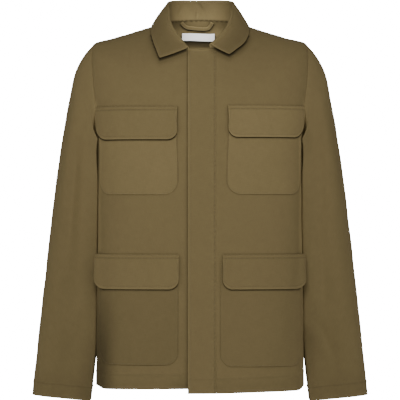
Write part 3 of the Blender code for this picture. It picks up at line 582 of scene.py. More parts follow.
FRONT_LENGTHS, FRONT_TURNS = measured_front()
FRONT_HALF = FRONT_LENGTHS[-1]


def on_side(turn, side):
    """Turn on the wearer's left (1) or, mirrored, on the right (-1)."""
    return turn if side > 0 else math.pi - turn


def turn_across(across, side):
    """Turn at a distance round the front from its middle."""
    return on_side(np.interp(across, FRONT_LENGTHS, FRONT_TURNS), side)


def turn_at_x(x, down, face):
    """Turn at which the ring reaches a given x, from x = half_width * reach * cos(turn)."""
    share = np.clip(np.abs(x) / ring_value("half_width", down), 1e-4, 0.9999)
    power = ring_value(face + "_power", down)
    turn = np.arctan((share**-power - 1.0)**(1.0 / power))
    return np.where(np.asarray(x) >= 0, turn, math.pi - turn)


def hem_drop(x, down):
    """How much lower the left front and its band hang toward the middle of the hem."""
    return CENTRE_DROP * (1 - soft_step(x, 0.0, CENTRE_DROP_WIDTH)) * hem_rise(down)


def meet_back(layer, side):
    """Moves a front's cloth near its last column in or out, so that its seams with the back have no step."""
    back_edge = BACK_LAYER[:, 0] if BACK_LAYER[0, 0, 0] * side > 0 else BACK_LAYER[:, -1]
    target = np.stack([np.interp(ROWS, BACK_ROWS, back_edge[:, axis]) for axis in range(3)], axis=-1)
    outs = grid_out(layer)
    outs = outs * np.sign((outs * layer * (1.0, 1.0, 0.0)).sum(axis=-1, keepdims=True))
    step = ((target - layer[:, -1]) * outs[:, -1]).sum(axis=-1)
    seam = soft_step(-ROWS, 0.004 - SHOULDER_POINT, 0.006) + soft_step(ROWS, ARMPIT + 0.004, 0.006)
    distance = np.linalg.norm(layer - layer[:, -1:], axis=-1)
    return layer + outs * ((step * seam)[:, None] * bell(distance, 0.0, MEETING_WIDTH))[..., None]


def front_layer(side, inner_x, hem_lift):
    """One front: distances round it are even up to the chest's edge, and beyond that give way to the armhole."""
    near = np.interp(turn_at_x(np.full(ROWS.shape, abs(inner_x)), ROWS, "front"), FRONT_TURNS[::-1],
                     FRONT_LENGTHS[::-1])
    start = near if inner_x * side > 0 else -near
    columns = np.concatenate((np.linspace(start[len(start) // 2], 0.034, 15 if side > 0 else 26), FRONT_GRID,
                              [FRONT_HALF]))
    outer = np.maximum(armhole_turn(ROWS, "front"), -SEAM_GAP / 2 / ring_value("front_depth", ROWS))
    end = np.interp(outer, FRONT_TURNS[::-1], FRONT_LENGTHS[::-1])
    plan = (columns[0], FRONT_KEPT, FRONT_HALF)
    across = np.array([np.interp(columns, plan, (first, FRONT_KEPT, last)) for first, last in zip(start, end)])
    turn = np.where(across >= 0, turn_across(np.abs(across), side), turn_across(np.abs(across), -side))
    down = over_columns(ROWS, len(columns))
    shares = (columns - columns[0]) / (columns[-1] - columns[0])
    lift = (hem_lift * (1 - (shares + shares**4) / 2) + side_lift(shares))[None, :] * hem_rise(down)
    layer = meet_back(body_cloth(turn, down - lift, "front"), side)
    if side > 0:
        layer[..., 2] -= hem_drop(layer[..., 0], down)
        layer = layer[:, ::-1]
        layer = raised(layer, -UNDER_BAND * soft_step(-layer[..., 0], -BAND_SEAM_X - 0.0022, 0.0030))
    layer = turned_up(layer, past_hem_line(ROWS, len(columns)))
    return sewn_edges(layer, ("top", "first") if side > 0 else ("top", "last"))


def zone(name, value):
    """How far a point is inside a named zone of painted light and shade."""
    return soft_step(value, *PAINTED_LIGHT_ZONES[name])


def armhole_seam_painted_light(layer, edge):
    """Painted light along the lower half of the armhole's seam, lifting the shade of the hollow it lies in."""
    z = layer[..., 2]
    near = bell(edge_distance(layer, (edge,)), 0.0, 0.006)
    return 1 + near * zone("below_shoulder", -z) * zone("above_waist", z)


def side_painted_light_and_shade(layer):
    """Painted light and shade toward the body's sides: painted light between the sleeves, painted shade low on the
    wearer's right side and along the hem.
    """
    x, z = layer[..., 0], layer[..., 2]
    low = zone("low", -z)
    between = zone("between_sleeves", np.abs(x)) * zone("below_armpit", -z)
    right = zone("right_side", -x) * zone("right_low", -z)
    hem = zone("hem", -z) * (0.5 + bell(x, HEM_DARK_X, 0.02))
    sides = 1 + SIDE_PAINTED_LIGHT * between * np.where(x > 0, 1 - 0.8 * low, 0.7 - 0.7 * low)
    return sides * (1 - RIGHT_PAINTED_SHADE * right) * (1 - HEM_PAINTED_SHADE * hem)


# Each front gets painted shade along its hem's stitch line, painted light and shade toward its sides and painted light
# by its armhole seam.
FRONTS = {}
for side, name, inner_x, hem_lift, flat, area in (
        (1, "front_left", FRONT_LEFT_X, 0.0, (0.26, 0.72), 0.155),
        (-1, "front_right", FRONT_RIGHT_X, RIGHT_FRONT_LIFT, (0.30, 0.71), 0.180)):
    layer = front_layer(side, inner_x, hem_lift)
    tone = (seam_shade(layer, ("bottom",), HEM_TURN, 0.08) * side_painted_light_and_shade(layer)
            * armhole_seam_painted_light(layer, "first" if side > 0 else "last"))
    FRONTS[name] = turned_piece(name, "panel", "hem", layer, past_hem_line(ROWS, layer.shape[1]), tone,
                                flat=flat, area=area, rests_on=["collar"])


# ==== The fly band ============================================================
# A doubled strip of the same twill, sewn to the left front along one side, that hides the buttons. Its free edge
# lies over the right front and stands off it more toward the hem; its seam draws the cloth into small puckers.

BAND_CLOTH = 0.0016
BAND_EDGE_X = -0.0225
BAND_STAND = 0.0018       # middle of the band above the fronts' middle


BAND_ROWS = 420
BAND_EDGE_RISE = 0.0016   # its free edge rises this much from the neck to the hem
BAND_EDGE_GAP = 0.0004
BAND_EDGE_WIDTH = 0.010
BAND_SEAM_SINK = 0.0010
BAND_SEAM_WIDTH = 0.0032
BAND_PUCKER = 0.00045
PUCKER_WIDTH = 0.0100
BAND_HEM_RISE = 0.0006    # the band's hem lies over the front's thicker one
BAND_SEWN_COLUMNS = ("edge", "inset", "shade", "shade_width")
BAND_SEWN = (
    ("last", 0.0016, 0.20, 0.0014),
    ("top", 0.0050, 0.10, 0.0011),
    ("first", 0.0050, 0.04, 0.0011),
    ("bottom", 0.0260, 0.10, 0.0011),
)


def inset_line(layer, thickness, edges, inset):
    """Line of sewing a fixed distance inside one edge or a run of edges, in order; "-" takes an edge backward."""
    u, v = flat_cut(layer)
    rows, columns = np.arange(layer.shape[0]), np.arange(layer.shape[1])
    first = np.array([np.interp(inset, u[i] - u[i, 0], columns) for i in rows])
    last = np.array([np.interp(u[i, -1] - u[i, 0] - inset, u[i] - u[i, 0], columns) for i in rows])
    top = np.array([np.interp(inset, v[:, j], rows) for j in columns])
    bottom = np.array([np.interp(v[-1, j] - inset, v[:, j], rows) for j in columns])
    inside = (rows >= top[0]) & (rows <= bottom[0])
    between = (columns >= first[0]) & (columns <= last[0])
    spans = {"first": (rows[inside], first[inside]), "last": (rows[inside], last[inside]),
             "top": (top[between], columns[between]), "bottom": (bottom[between], columns[between])}
    parts = [np.stack(spans[edge.strip("-")])[:, ::-1 if edge.startswith("-") else 1] for edge in edges]
    return on_cloth(layer, thickness, *np.concatenate(parts, axis=1))


def band_layer():
    """Columns from the free edge to the seam; each is lifted off the front by its stand and the hem's thickness."""
    x = np.concatenate((np.linspace(BAND_EDGE_X, BAND_EDGE_X + 0.007, 6), np.linspace(-0.0137, 0.0190, 16),
                        np.linspace(0.0203, BAND_SEAM_X, 10)))
    down = over_columns(np.linspace(0.0, HEM_DOWN, BAND_ROWS), len(x))
    turn = turn_at_x(np.broadcast_to(x, down.shape), down, "front")
    lift = (BAND_EDGE_GAP + BAND_EDGE_RISE * soft_step(down, 0.1, 0.6)) * np.exp(-(x - BAND_EDGE_X) / BAND_EDGE_WIDTH)
    sink = BAND_SEAM_SINK * bell(x, BAND_SEAM_X, BAND_SEAM_WIDTH)
    puckers = BAND_PUCKER * pucker(down, 0.4) * bell(x, BAND_SEAM_X, PUCKER_WIDTH)
    hem = BAND_HEM_RISE * soft_step(down, 0.70, 0.05)
    layer = body_cloth(turn, down, "front", BAND_STAND + hem + lift - sink - puckers)
    layer[..., 2] -= hem_drop(layer[..., 0], down)
    return layer


BAND = band_layer()
band_shade, band_lines = 1.0, []
for row in BAND_SEWN:
    sewn = dict(zip(BAND_SEWN_COLUMNS, row))
    band_shade = band_shade * seam_shade(BAND, (sewn["edge"],), sewn["inset"], sewn["shade"], sewn["shade_width"])
    band_lines.append(inset_line(BAND, BAND_CLOTH, (sewn["edge"],), sewn["inset"]))
band = cloth_piece("fly_band", BAND, BAND_CLOTH, twill("fly_band_twill"), "front_placket", edge_width=0.003,
                   shade=band_shade)
band_stitches = stitches("fly_band_stitches", band_lines, THREAD)


# ==== Patch pockets and their flaps ===========================================
# Four flat patch pockets with rounded lower corners, edge stitched to the fronts. Over each hangs a doubled flap,
# sewn on along its top with two rows of stitching and stitched round its free edge, which stands off the pocket.

# Each patch's olive is scaled by its own factor of painted light and shade; the last column is how deep the painted
# shade it throws on the cloth under it is.
PATCH_COLUMNS = ("name", "side", "inner", "outer", "top_z", "bottom_z", "inner_radius", "outer_radius", "tone",
                 "shade")
POCKETS = (
    ("chest_pocket_left", 1, 0.0515, 0.2060, -0.1690, -0.3190, 0.026, 0.030, 1.11, 0.20),
    ("chest_pocket_right", -1, 0.0420, 0.2040, -0.1690, -0.3195, 0.026, 0.030, 1.12, 0.10),
    ("lower_pocket_left", 1, 0.0385, 0.2080, -0.4480, -0.6440, 0.023, 0.030, 0.94, 0.07),
    ("lower_pocket_right", -1, 0.0415, 0.2060, -0.4480, -0.6410, 0.023, 0.030, 0.89, 0.02),
)
FLAPS = (
    ("chest_flap_left", 1, 0.0500, 0.2050, -0.1520, -0.2112, 0.019, 0.028, 1.15, 0.85),
    ("chest_flap_right", -1, 0.0400, 0.2070, -0.1540, -0.2156, 0.019, 0.030, 1.03, 0.95),
    ("lower_flap_left", 1, 0.0430, 0.2140, -0.4330, -0.4981, 0.018, 0.026, 0.99, 0.62),
    ("lower_flap_right", -1, 0.0400, 0.2130, -0.4330, -0.4981, 0.019, 0.026, 1.03, 0.72),
)
FREE_EDGES = ("first", "last", "bottom")
POCKET_STAND = 0.0015
POCKET_BELLY = 0.0006
FLAP_SEAM = 0.0080
FLAP_STAND = 0.0018
FLAP_STEP = 0.0019        # a flap rises this much over its pocket's top edge
FLAP_STEP_WIDTH = 0.0050
FLAP_EDGE_RISE = 0.0018
OVERHANG_X = 0.2095       # flaps that reach further round than this stand off the body's side
OVERHANG = 0.0060
OVERHANG_WIDTH = 0.034
ROW_CROWDING = 0.35       # a patch's rows lie this much closer at its top and bottom


def down_at_z(turn, z, face):
    """Distance down at which the layer reaches a height, by halving the interval forty times."""
    turn, z = np.broadcast_arrays(turn, z)
    low, high = np.zeros(z.shape), np.full(z.shape, HEM_DOWN)
    for _ in range(40):
        middle = (low + high) / 2
        above = body_layer(turn, middle, face)[..., 2] > z
        low, high = np.where(above, middle, low), np.where(above, high, middle)
    return (low + high) / 2


def rounded_bottom(across, patch):
    """How much shorter a patch is over its rounded corners: radius - sqrt(radius^2 - distance^2)."""
    short = 0.0
    for radius, inward in ((patch["inner_radius"], across - patch["inner"]),
                           (patch["outer_radius"], patch["outer"] - across)):
        short = short + radius - np.sqrt(radius**2 - np.clip(radius - inward, 0.0, radius)**2)
    return short


def patch_layer(patch, rows, stand_at):
    """Grid of a patch on the front: columns crowd at its ends, and rows are shares of its height, top to bottom."""
    first = patch["inner"] + patch["inner_radius"] * (1 - np.cos(np.linspace(0, math.pi / 2, 16)))
    last = patch["outer"] - patch["outer_radius"] * (1 - np.cos(np.linspace(math.pi / 2, 0, 18)))
    across = np.concatenate((first, np.linspace(first[-1], last[0], 44)[1:-1], last))
    bottom = patch["bottom_z"] + rounded_bottom(across, patch)
    shares = np.linspace(0.0, 1.0, rows)
    shares = shares - ROW_CROWDING * np.sin(2 * math.pi * shares) / (2 * math.pi)
    z = patch["top_z"] + (bottom - patch["top_z"])[None, :] * shares[:, None]
    turn = np.broadcast_to(turn_across(across, patch["side"])[None, :], z.shape)
    layer = body_cloth(turn, down_at_z(turn, z, "front"), "front", stand_at(across[None, :], z, patch))
    return layer[:, ::-1] if patch["side"] < 0 else layer


def pocket_stand(across, z, patch):
    """A pocket's cloth lies on the front at its sewn edges and bellies out very slightly inside them."""
    share = (across - patch["inner"]) / (patch["outer"] - patch["inner"])
    belly = np.clip(share * (1 - share) * 4, 0, 1)
    return POCKET_STAND + POCKET_BELLY * belly + ripple(across * 1.7 + z, z * 1.3, 0.0003)


def flap_stand(across, z, patch):
    """A flap lies on the front at its seam, rises over the pocket and stands off it more toward its free edge."""
    drop = (patch["top_z"] - z) / (patch["top_z"] - patch["bottom_z"])
    over = FLAP_STEP * soft_step(-z, FLAP_SEAM - FLAP_STEP_WIDTH - patch["top_z"], FLAP_STEP_WIDTH)
    wave = ripple(across * 2.3 + 0.4 * patch["side"], z, 0.0007) * drop
    reach = OVERHANG if patch["outer"] > OVERHANG_X else 0.0
    aside = reach * soft_step(across, patch["outer"] - OVERHANG_WIDTH, OVERHANG_WIDTH)**2
    return FLAP_STAND + over + FLAP_EDGE_RISE * drop**2 + wave + aside


def sewn_line(layer, inset, depth):
    """Shallow groove with puckers a fixed distance inside the first, bottom and last edges."""
    return raised(layer, -depth * sewing(layer, FREE_EDGES, inset, 0.0018, 0.6, 2.0))


# Pockets take the fronts' painted light and shade toward the sides; both kinds get painted shade along their lines of
# sewing.
POCKET_MAKE = {"ending": "patch", "rows": 96, "stand_at": pocket_stand, "cloth": 0.0009, "sewn": 0.0020,
               "groove": 0.00030, "painted_shade_lines": ((FREE_EDGES, 0.0022, 0.05),), "top_rows": (), "painted_light_and_shade_at": side_painted_light_and_shade,
               "rubbed": 0.14, "edge_width": 0.0020, "held": "stretched", "fullness": 0.985}
FLAP_MAKE = {"ending": "cloth", "rows": 64, "stand_at": flap_stand, "cloth": 0.0016, "sewn": 0.0045,
             "groove": 0.00035, "top_rows": (0.0015, 0.0072), "painted_light_and_shade_at": lambda layer: 1.0, "rubbed": 0.18,
             "painted_shade_lines": ((("top",), 0.0004, 0.20), (("top",), 0.0074, 0.20), (FREE_EDGES, 0.0048, 0.06)),
             "edge_width": 0.0025, "held": "hung", "fullness": 0.96}


def sewn_patch(patch, make):
    """A pocket or flap, stitched round its free edges (and a flap along its top) to the front it rests on."""
    name, cloth = patch["name"], make["cloth"]
    layer = sewn_line(patch_layer(patch, make["rows"], make["stand_at"]), make["sewn"], make["groove"])
    shade = make["painted_light_and_shade_at"](layer)
    for edges, inset, strength in make["painted_shade_lines"]:
        shade = shade * seam_shade(layer, edges, inset, strength)
    piece = cloth_piece(f"{name}_{make['ending']}", layer, cloth, twill(name + "_twill", patch["tone"], make["rubbed"]),
                        name, edge_width=make["edge_width"], shade=shade)
    lines = [inset_line(layer, cloth, ("first", "bottom", "-last"), make["sewn"])]
    lines += [inset_line(layer, cloth, ("top",), inset) for inset in make["top_rows"]]
    sewn = stitches(name + "_stitches", lines, THREAD)
    return piece, layer, patch["shade"]


PATCHES = {}
for table, make in ((POCKETS, POCKET_MAKE), (FLAPS, FLAP_MAKE)):
    for row in table:
        PATCHES[row[0]] = sewn_patch(dict(zip(PATCH_COLUMNS, row)), make)


# ==== The sleeves =============================================================
# Two long plain sleeves, each a tube of twill set into its armhole and closed by a seam under the arm. They hang
# straight beside the body and a little behind it, with soft troughs below the shoulder and above the cuff.

SLEEVE_COLUMNS = ("along", "outer_x", "outer_z", "middle_y", "half_depth")
SLEEVE_ROWS = (
    (0.000, 0.2023, -0.0311, 0.0105, 0.0700),
    (0.037, 0.2190, -0.0490, 0.0130, 0.0710),
    (0.088, 0.2369, -0.0798, 0.0180, 0.0725),
    (0.174, 0.2512, -0.1376, 0.0270, 0.0775),
    (0.342, 0.2714, -0.2532, 0.0340, 0.0820),
    (0.567, 0.2907, -0.4072, 0.0345, 0.0745),
    (0.791, 0.3080, -0.5613, 0.0340, 0.0590),
    (1.000, 0.3229, -0.7045, 0.0300, 0.0420),
)
UNDERARM_COLUMNS = ("along", "inner_x", "inner_z")
UNDERARM_ROWS = (
    (0.000, 0.2008, -0.2350),
    (0.060, 0.2002, -0.2620),
    (0.150, 0.1990, -0.3000),
    (0.300, 0.1982, -0.3750),
    (0.600, 0.1980, -0.5300),
    (0.820, 0.2002, -0.6280),
    (1.000, 0.2104, -0.7150),
)
UNDERARM_EASE = 1.5
SLEEVE_BLEND = 0.24
SLEEVE_SET_OUT = 0.0016
INNER_SQUARENESS = 40.0
INNER_CORNER = 135.0      # where the sleeve's front turns in beside the body
CORNER_WIDTH = 20.0
CORNER_FORWARD = 0.011
OUTER_SQUARENESS = 2.4
BODY_CLEARANCE = 0.0015   # the sleeve's inner wall follows the body's side at this distance
BESIDE_DOWN = 0.60
SLEEVE_SPANS = (          # columns: from and to (degrees round the sleeve), how many; finest at the inner corner
    (180.05, 478.0, 119),
    (478.0, 512.0, 38),
    (512.0, 539.95, 14),
)
CUFF_START = 0.955        # beyond this share of the sleeve its rows are closer
SLEEVE_LENGTH = 0.69
CUFF_TURN = 0.026
# Bands of painted light and shade round and along the sleeves.
SLEEVE_PAINTED_LIGHT_AND_SHADE = {          # middle and width of each tone, round the sleeve in degrees or as a share of its length
    "armhole": (140.0, 30.0), "front": (68.0, 24.0), "beside_body": (130.0, 16.0), "low_left": (0.83, 0.09),
    "low_right": (0.63, 0.05),
}
SLEEVE_FOLDS = {
    -1: (
        (60.0, 0.28, 16.0, 0.15, 0.0, -0.0024),
        (84.0, 0.42, 9.0, 0.17, 0.0, -0.0022),
        (104.0, 0.43, 8.0, 0.17, 0.0, 0.0014),
        (122.0, 0.46, 8.0, 0.20, 0.0, -0.0016),
        (112.0, 0.74, 12.0, 0.09, -20.0, -0.0018),
        (75.0, 0.72, 16.0, 0.10, -30.0, 0.0018),
        (268.0, 0.42, 18.0, 0.14, 20.0, -0.0030),
        (300.0, 0.60, 18.0, 0.12, -34.0, 0.0025),
        (240.0, 0.66, 16.0, 0.10, 30.0, -0.0025),
    ),
    1: (
        (62.0, 0.32, 16.0, 0.17, 0.0, -0.0020),
        (124.0, 0.44, 10.0, 0.24, 0.0, -0.0020),
        (98.0, 0.40, 12.0, 0.18, 12.0, 0.0014),
        (127.0, 0.80, 9.0, 0.060, -14.0, -0.0032),
        (108.0, 0.81, 8.0, 0.065, -14.0, 0.0018),
        (70.0, 0.62, 18.0, 0.14, -16.0, -0.0014),
        (262.0, 0.46, 18.0, 0.14, 16.0, -0.0028),
        (304.0, 0.58, 18.0, 0.12, -30.0, 0.0024),
        (236.0, 0.70, 16.0, 0.10, 26.0, -0.0024),
    ),
}


def armhole_loop(side, angles):
    """Points round one armhole at angles from the shoulder (0) down the front to the armpit (180) and up the back."""
    run = np.where(angles <= 180.0, angles, 360.0 - angles) / 180.0
    down = SHOULDER_POINT + (ARMPIT - SHOULDER_POINT) * (1 - np.cos(math.pi * run)) / 2
    front, back = (body_cloth(on_side(armhole_turn(down, face), side), down, face) for face in ("front", "back"))
    return np.where((angles <= 180.0)[:, None], front, back)


def sleeve_section(angle):
    """Rounded section: reach = (|cos|^n + |sin|^n)^(-1/n), squarer in front and squarest beside the body."""
    cosine, sine = np.cos(angle), np.sin(angle)
    power = np.where(sine > 0, np.where(cosine < 0, INNER_SQUARENESS, OUTER_SQUARENESS), 2.0)
    reach = (np.abs(cosine)**power + np.abs(sine)**power)**(-1.0 / power)
    return cosine * reach, sine * reach


def beside_body(y, cosine, sine):
    """How far the sleeve's inner wall moves to follow the body's side: width * ((1 - |y / depth|^n)^(1/n) - 1)."""
    depth, power = ring_value("front_depth", BESIDE_DOWN), ring_value("front_power", BESIDE_DOWN)
    follow = (1.0 - np.clip(-y / depth, 0.0, 0.9)**power)**(1.0 / power) - 1.0
    follow = follow * ring_value("half_width", BESIDE_DOWN)
    stand_off = BODY_CLEARANCE * (1.0 - np.clip(sine, 0.0, 1.0)**4)
    return (follow + stand_off) * soft_step(sine, 0.0, 0.22) * soft_step(-cosine * 1.2)


def sleeve_painted_light_and_shade(side, degrees, along):
    """Painted light and shade on a sleeve: painted light in the hollow by the armhole, painted shade down its front,
    where it turns in beside the body (most low down) and near the cuff.
    """
    armhole, front, beside = (bell(degrees, *SLEEVE_PAINTED_LIGHT_AND_SHADE[name]) for name in ("armhole", "front", "beside_body"))
    low = bell(along, *SLEEVE_PAINTED_LIGHT_AND_SHADE["low_left"])
    if side < 0:
        low = soft_step(along, 0.75, 0.20) + 1.1 * bell(along, *SLEEVE_PAINTED_LIGHT_AND_SHADE["low_right"])
    beside = beside * soft_step(along, 0.25, 0.25) * (0.05 + 0.13 * low)
    return ((1 + armhole * bell(along, 0.0, 0.03)) * (1.03 - 0.06 * front * soft_step(along, 0.10, 0.15))
            * (1 - beside) * (1 - 0.08 * soft_step(along, 0.90, 0.08)))


def sleeve_layer(side):
    """Rings from armhole to cuff: centre + reach * cos + depth * sin, between the outer and the underarm lines.

    Near the armhole each ring keeps the armhole's own shape and gives way to an oval further down.
    """
    degrees = np.unique(np.concatenate([np.linspace(*span) for span in SLEEVE_SPANS])) % 360.0
    angle = np.radians(degrees)
    toward_body = soft_step((1 - np.cos(angle)) / 2)
    near_body = toward_body * soft_step(np.sin(angle), 0.0, 0.3)
    first = armhole_loop(side, degrees)
    first[:, 0] += side * (SEAM_GAP * 1.2 + (SLEEVE_SET_OUT - SEAM_GAP * 1.2) * toward_body**2)
    along = np.concatenate((CUFF_START * np.linspace(0.0, 1.0, 156)**1.15, np.linspace(CUFF_START, 1.0, 36)[1:]))
    outer_x, outer_z, middle_y, depth = (table_curve(SLEEVE_ROWS, SLEEVE_COLUMNS, name, along)
                                         for name in ("outer_x", "outer_z", "middle_y", "half_depth"))
    inner_x, inner_z = (table_curve(UNDERARM_ROWS, UNDERARM_COLUMNS, name, along**UNDERARM_EASE)
                        for name in ("inner_x", "inner_z"))
    top = np.stack((side * outer_x, middle_y, outer_z), axis=-1)
    under = np.stack((side * inner_x, middle_y, inner_z), axis=-1)
    centre, reach = (top + under) / 2, (top - under) / 2
    offset = first - centre[0]
    upward = (offset @ reach[0]) / (reach[0] @ reach[0])
    forward = -offset[:, 1] / depth[0]
    left_over = offset - upward[:, None] * reach[0]
    left_over[:, 1] += forward * depth[0]
    section_cosine, section_sine = sleeve_section(angle)
    run = along[:, None]
    blend = soft_step(run / SLEEVE_BLEND)
    forward_blend = soft_step(run / (SLEEVE_BLEND * (1 - 0.85 * near_body)))
    cosine = upward * (1 - blend) + section_cosine * blend
    sine = forward * (1 - forward_blend) + section_sine * forward_blend
    ring = centre[:, None, :] + reach[:, None, :] * cosine[..., None]
    rolled = bell(degrees, INNER_CORNER, CORNER_WIDTH) * soft_step(run, 0.0, 0.02)
    rolled = rolled * (1 - 0.45 * soft_step(run, 0.05, 0.35))
    ring[..., 1] -= depth[:, None] * sine + CORNER_FORWARD * rolled
    ring[..., 0] += side * beside_body(ring[..., 1], cosine, sine) * forward_blend
    ring += left_over * (1 - blend)[..., None]
    if side < 0:
        ring, degrees = ring[:, ::-1], degrees[::-1]
    move = folds_at(SLEEVE_FOLDS[side], degrees, run) * soft_step(run, 0.0, 0.12)
    move = move + ripple(ring[..., 0] * 1.3 + ring[..., 1], ring[..., 2], 0.0007) * soft_step(run, 0.0, 0.1)
    past = run * SLEEVE_LENGTH - (SLEEVE_LENGTH - CUFF_TURN)
    layer = turned_up(raised(ring, move), past, 1.2)
    return sewn_edges(layer, ("top",)), past, sleeve_painted_light_and_shade(side, degrees, run)


# Each sleeve gets painted shade along its cuff's stitch line and its painted light and shade.
for side, name in ((1, "sleeve_left"), (-1, "sleeve_right")):
    layer, past, lit = sleeve_layer(side)
    turned_piece(name, "tube", "cuff", layer, past, seam_shade(layer, ("bottom",), CUFF_TURN, 0.12) * lit,
                 flat=(0.46, 0.72), area=0.212, rests_on=["back"])


# ==== The collar ==============================================================
# A doubled, pressed collar. Its stand rises from the neck seam, folds over at the roll line, and its fall lies on the
# shoulders and ends in two points at the front, edge stitched all round.

COLLAR_CLOTH = 0.0016
ROLL_HALF = 0.0022
HALF_ROWS = 80
STAND_COLUMNS = 14
ROLL_COLUMNS = 7
LEAF_COLUMN = STAND_COLUMNS + ROLL_COLUMNS
LEAF_COLUMNS = 26
COLLAR_COLUMNS = ("neck_angle", "roll_x", "roll_y", "roll_z", "edge_angle", "edge_down", "lift", "bulge")
COLLAR_RIGHT = (
    (0.0, 0.0000, 0.0710, 0.0570, 0.0, 0.0170, 0.0024, 0.0030),
    (35.0, 0.0420, 0.0610, 0.0565, 36.0, 0.0180, 0.0024, 0.0030),
    (66.0, 0.0615, 0.0350, 0.0512, 66.0, 0.0180, 0.0022, 0.0022),
    (90.0, 0.0605, 0.0060, 0.0360, 90.0, 0.0150, 0.0019, 0.0030),
    (115.0, 0.0590, -0.0240, 0.0150, 110.0, 0.0200, 0.0029, 0.0035),
    (135.0, 0.0505, -0.0470, -0.0050, 124.0, 0.0270, 0.0042, 0.0040),
    (150.0, 0.0385, -0.0665, -0.0225, 134.5, 0.0360, 0.0052, 0.0015),
    (163.0, 0.0236, -0.0842, -0.0405, 143.2, 0.0479, 0.0064, -0.0010),
)
COLLAR_LEFT = (
    (0.0, 0.0000, 0.0710, 0.0570, 0.0, 0.0170, 0.0024, 0.0030),
    (35.0, 0.0420, 0.0610, 0.0565, 36.0, 0.0180, 0.0024, 0.0030),
    (66.0, 0.0640, 0.0350, 0.0512, 66.0, 0.0180, 0.0022, 0.0022),
    (90.0, 0.0615, 0.0060, 0.0360, 90.0, 0.0155, 0.0019, 0.0030),
    (115.0, 0.0585, -0.0240, 0.0150, 111.0, 0.0200, 0.0029, 0.0035),
    (135.0, 0.0480, -0.0470, -0.0050, 126.0, 0.0235, 0.0042, 0.0040),
    (150.0, 0.0360, -0.0660, -0.0200, 138.8, 0.0246, 0.0056, 0.0015),
    (165.0, 0.0205, -0.0845, -0.0345, 149.3, 0.0284, 0.0070, -0.0010),
)


def round_neck(surface, angle, side, down, *out):
    """Points of one of the body's surfaces at angles from the middle of the back (0) to that of the front (180)."""
    turn = on_side(np.radians(np.abs(90.0 - angle)), side)
    return np.where((angle <= 90.0)[:, None], *(surface(turn, down, face, *out) for face in ("back", "front")))


def collar_half(table, side):
    """Grid of half the collar: stand as a line from neck to fold, the fold as half a circle, fall as a bulged line."""
    angle = np.linspace(0.0, table[-1][0], HALF_ROWS)
    seam = np.zeros(angle.shape)
    neck = round_neck(body_layer, angle, side, seam)
    over = unit(neck - round_neck(body_layer, angle, side, seam + 0.001))
    value = {name: table_curve(table, COLLAR_COLUMNS, name, angle) for name in COLLAR_COLUMNS[1:]}
    roll = np.stack((side * value["roll_x"], value["roll_y"], value["roll_z"]), axis=-1)
    bend = np.linalg.norm(np.cross(over, unit(roll - neck)), axis=-1)
    neck = neck + over * (SEAM_GAP * 1.3 + COLLAR_CLOTH / 2 * bend)[:, None]
    edge = round_neck(body_cloth, value["edge_angle"], side, value["edge_down"], value["lift"])
    outward = unit((edge - neck) * (1.0, 1.0, 0.0))
    aside, up = outward * ROLL_HALF, np.array((0.0, 0.0, ROLL_HALF))
    centre = roll - up
    rows = [neck + (centre - aside - neck) * share for share in np.linspace(0, 1, STAND_COLUMNS)]
    rows += [centre - aside * math.cos(a) + up * math.sin(a) for a in np.linspace(0, math.pi, ROLL_COLUMNS + 2)[1:-1]]
    leaf = edge - (centre + aside)
    rise = unit(np.cross(leaf, np.cross(outward, leaf)))
    for share in np.linspace(0, 1, LEAF_COLUMNS):
        wave = ripple(angle * 0.0012, share * 0.03 + side * 0.02, 0.0005) * math.sin(math.pi * share)
        rows.append(centre + aside + leaf * share + rise * (value["bulge"] * 4 * share * (1 - share) + wave)[:, None])
    return np.stack(rows, axis=1)


CREASE_COLUMNS = ("x", "z", "lean", "long", "wide", "deep")
COLLAR_CREASES = (
    (0.0020, 0.0465, -0.80, 0.0080, 0.0022, 1.0),
    (-0.0087, 0.0290, 0.05, 0.0070, 0.0013, 0.8),
    (-0.0052, 0.0270, 0.10, 0.0060, 0.0018, -0.6),
    (-0.0380, 0.0420, 0.50, 0.0090, 0.0030, 0.3),
)
CREASE_DEPTH = 0.0007
INSIDE_COLUMNS = 17       # columns that show inside the neck
CREASE_SHADE = 0.34


def collar_creases(layer):
    """Short leaning creases at the back of the neck: sum of deep * exp(-across^2 - run^2) over the points' x and z."""
    creased = np.zeros(layer.shape[:2])
    for row in COLLAR_CREASES:
        crease = dict(zip(CREASE_COLUMNS, row))
        above = layer[..., 2] - crease["z"]
        aside = layer[..., 0] - crease["x"] - crease["lean"] * above
        creased += crease["deep"] * bell(aside, 0.0, crease["wide"]) * bell(above, 0.0, crease["long"])
    return creased * (layer[..., 1] > 0.03)


COLLAR = np.concatenate((collar_half(COLLAR_RIGHT, -1)[:0:-1], collar_half(COLLAR_LEFT, 1)))
CREASED = collar_creases(COLLAR)
# Painted light and shade on the collar: painted shade at the middle of the stand inside the neck, lighter toward its
# sides, painted light toward the top of the fall, and painted shade in the creases with painted light on the one that
# stands out.
collar_painted_light_and_shade = np.where(np.arange(COLLAR.shape[1]) < INSIDE_COLUMNS,
                       0.81 + 0.35 * soft_step(np.abs(COLLAR[..., 0]), 0.0, 0.05),
                       1 + 0.14 * soft_step(COLLAR[..., 2], 0.0, 0.03)) * (1 - CREASE_SHADE * CREASED)
COLLAR[..., 1] += CREASED * CREASE_DEPTH
# The collar's olive is painted darker throughout as painted shade, and painted shade runs along its neck seam.
collar = cloth_piece("collar_folded", COLLAR, COLLAR_CLOTH, twill("collar_twill", 0.86, rubbed=0.22), "collar",
                     edge_width=0.0025, shade=seam_shade(COLLAR, ("first",), 0.0, 0.55, 0.0022) * collar_painted_light_and_shade)
collar_lines = [inset_line(COLLAR[:, LEAF_COLUMN:], COLLAR_CLOTH, (edge,), 0.0050)
                for edge in ("top", "last", "bottom")]
collar_stitches = stitches("collar_stitches", collar_lines, THREAD)


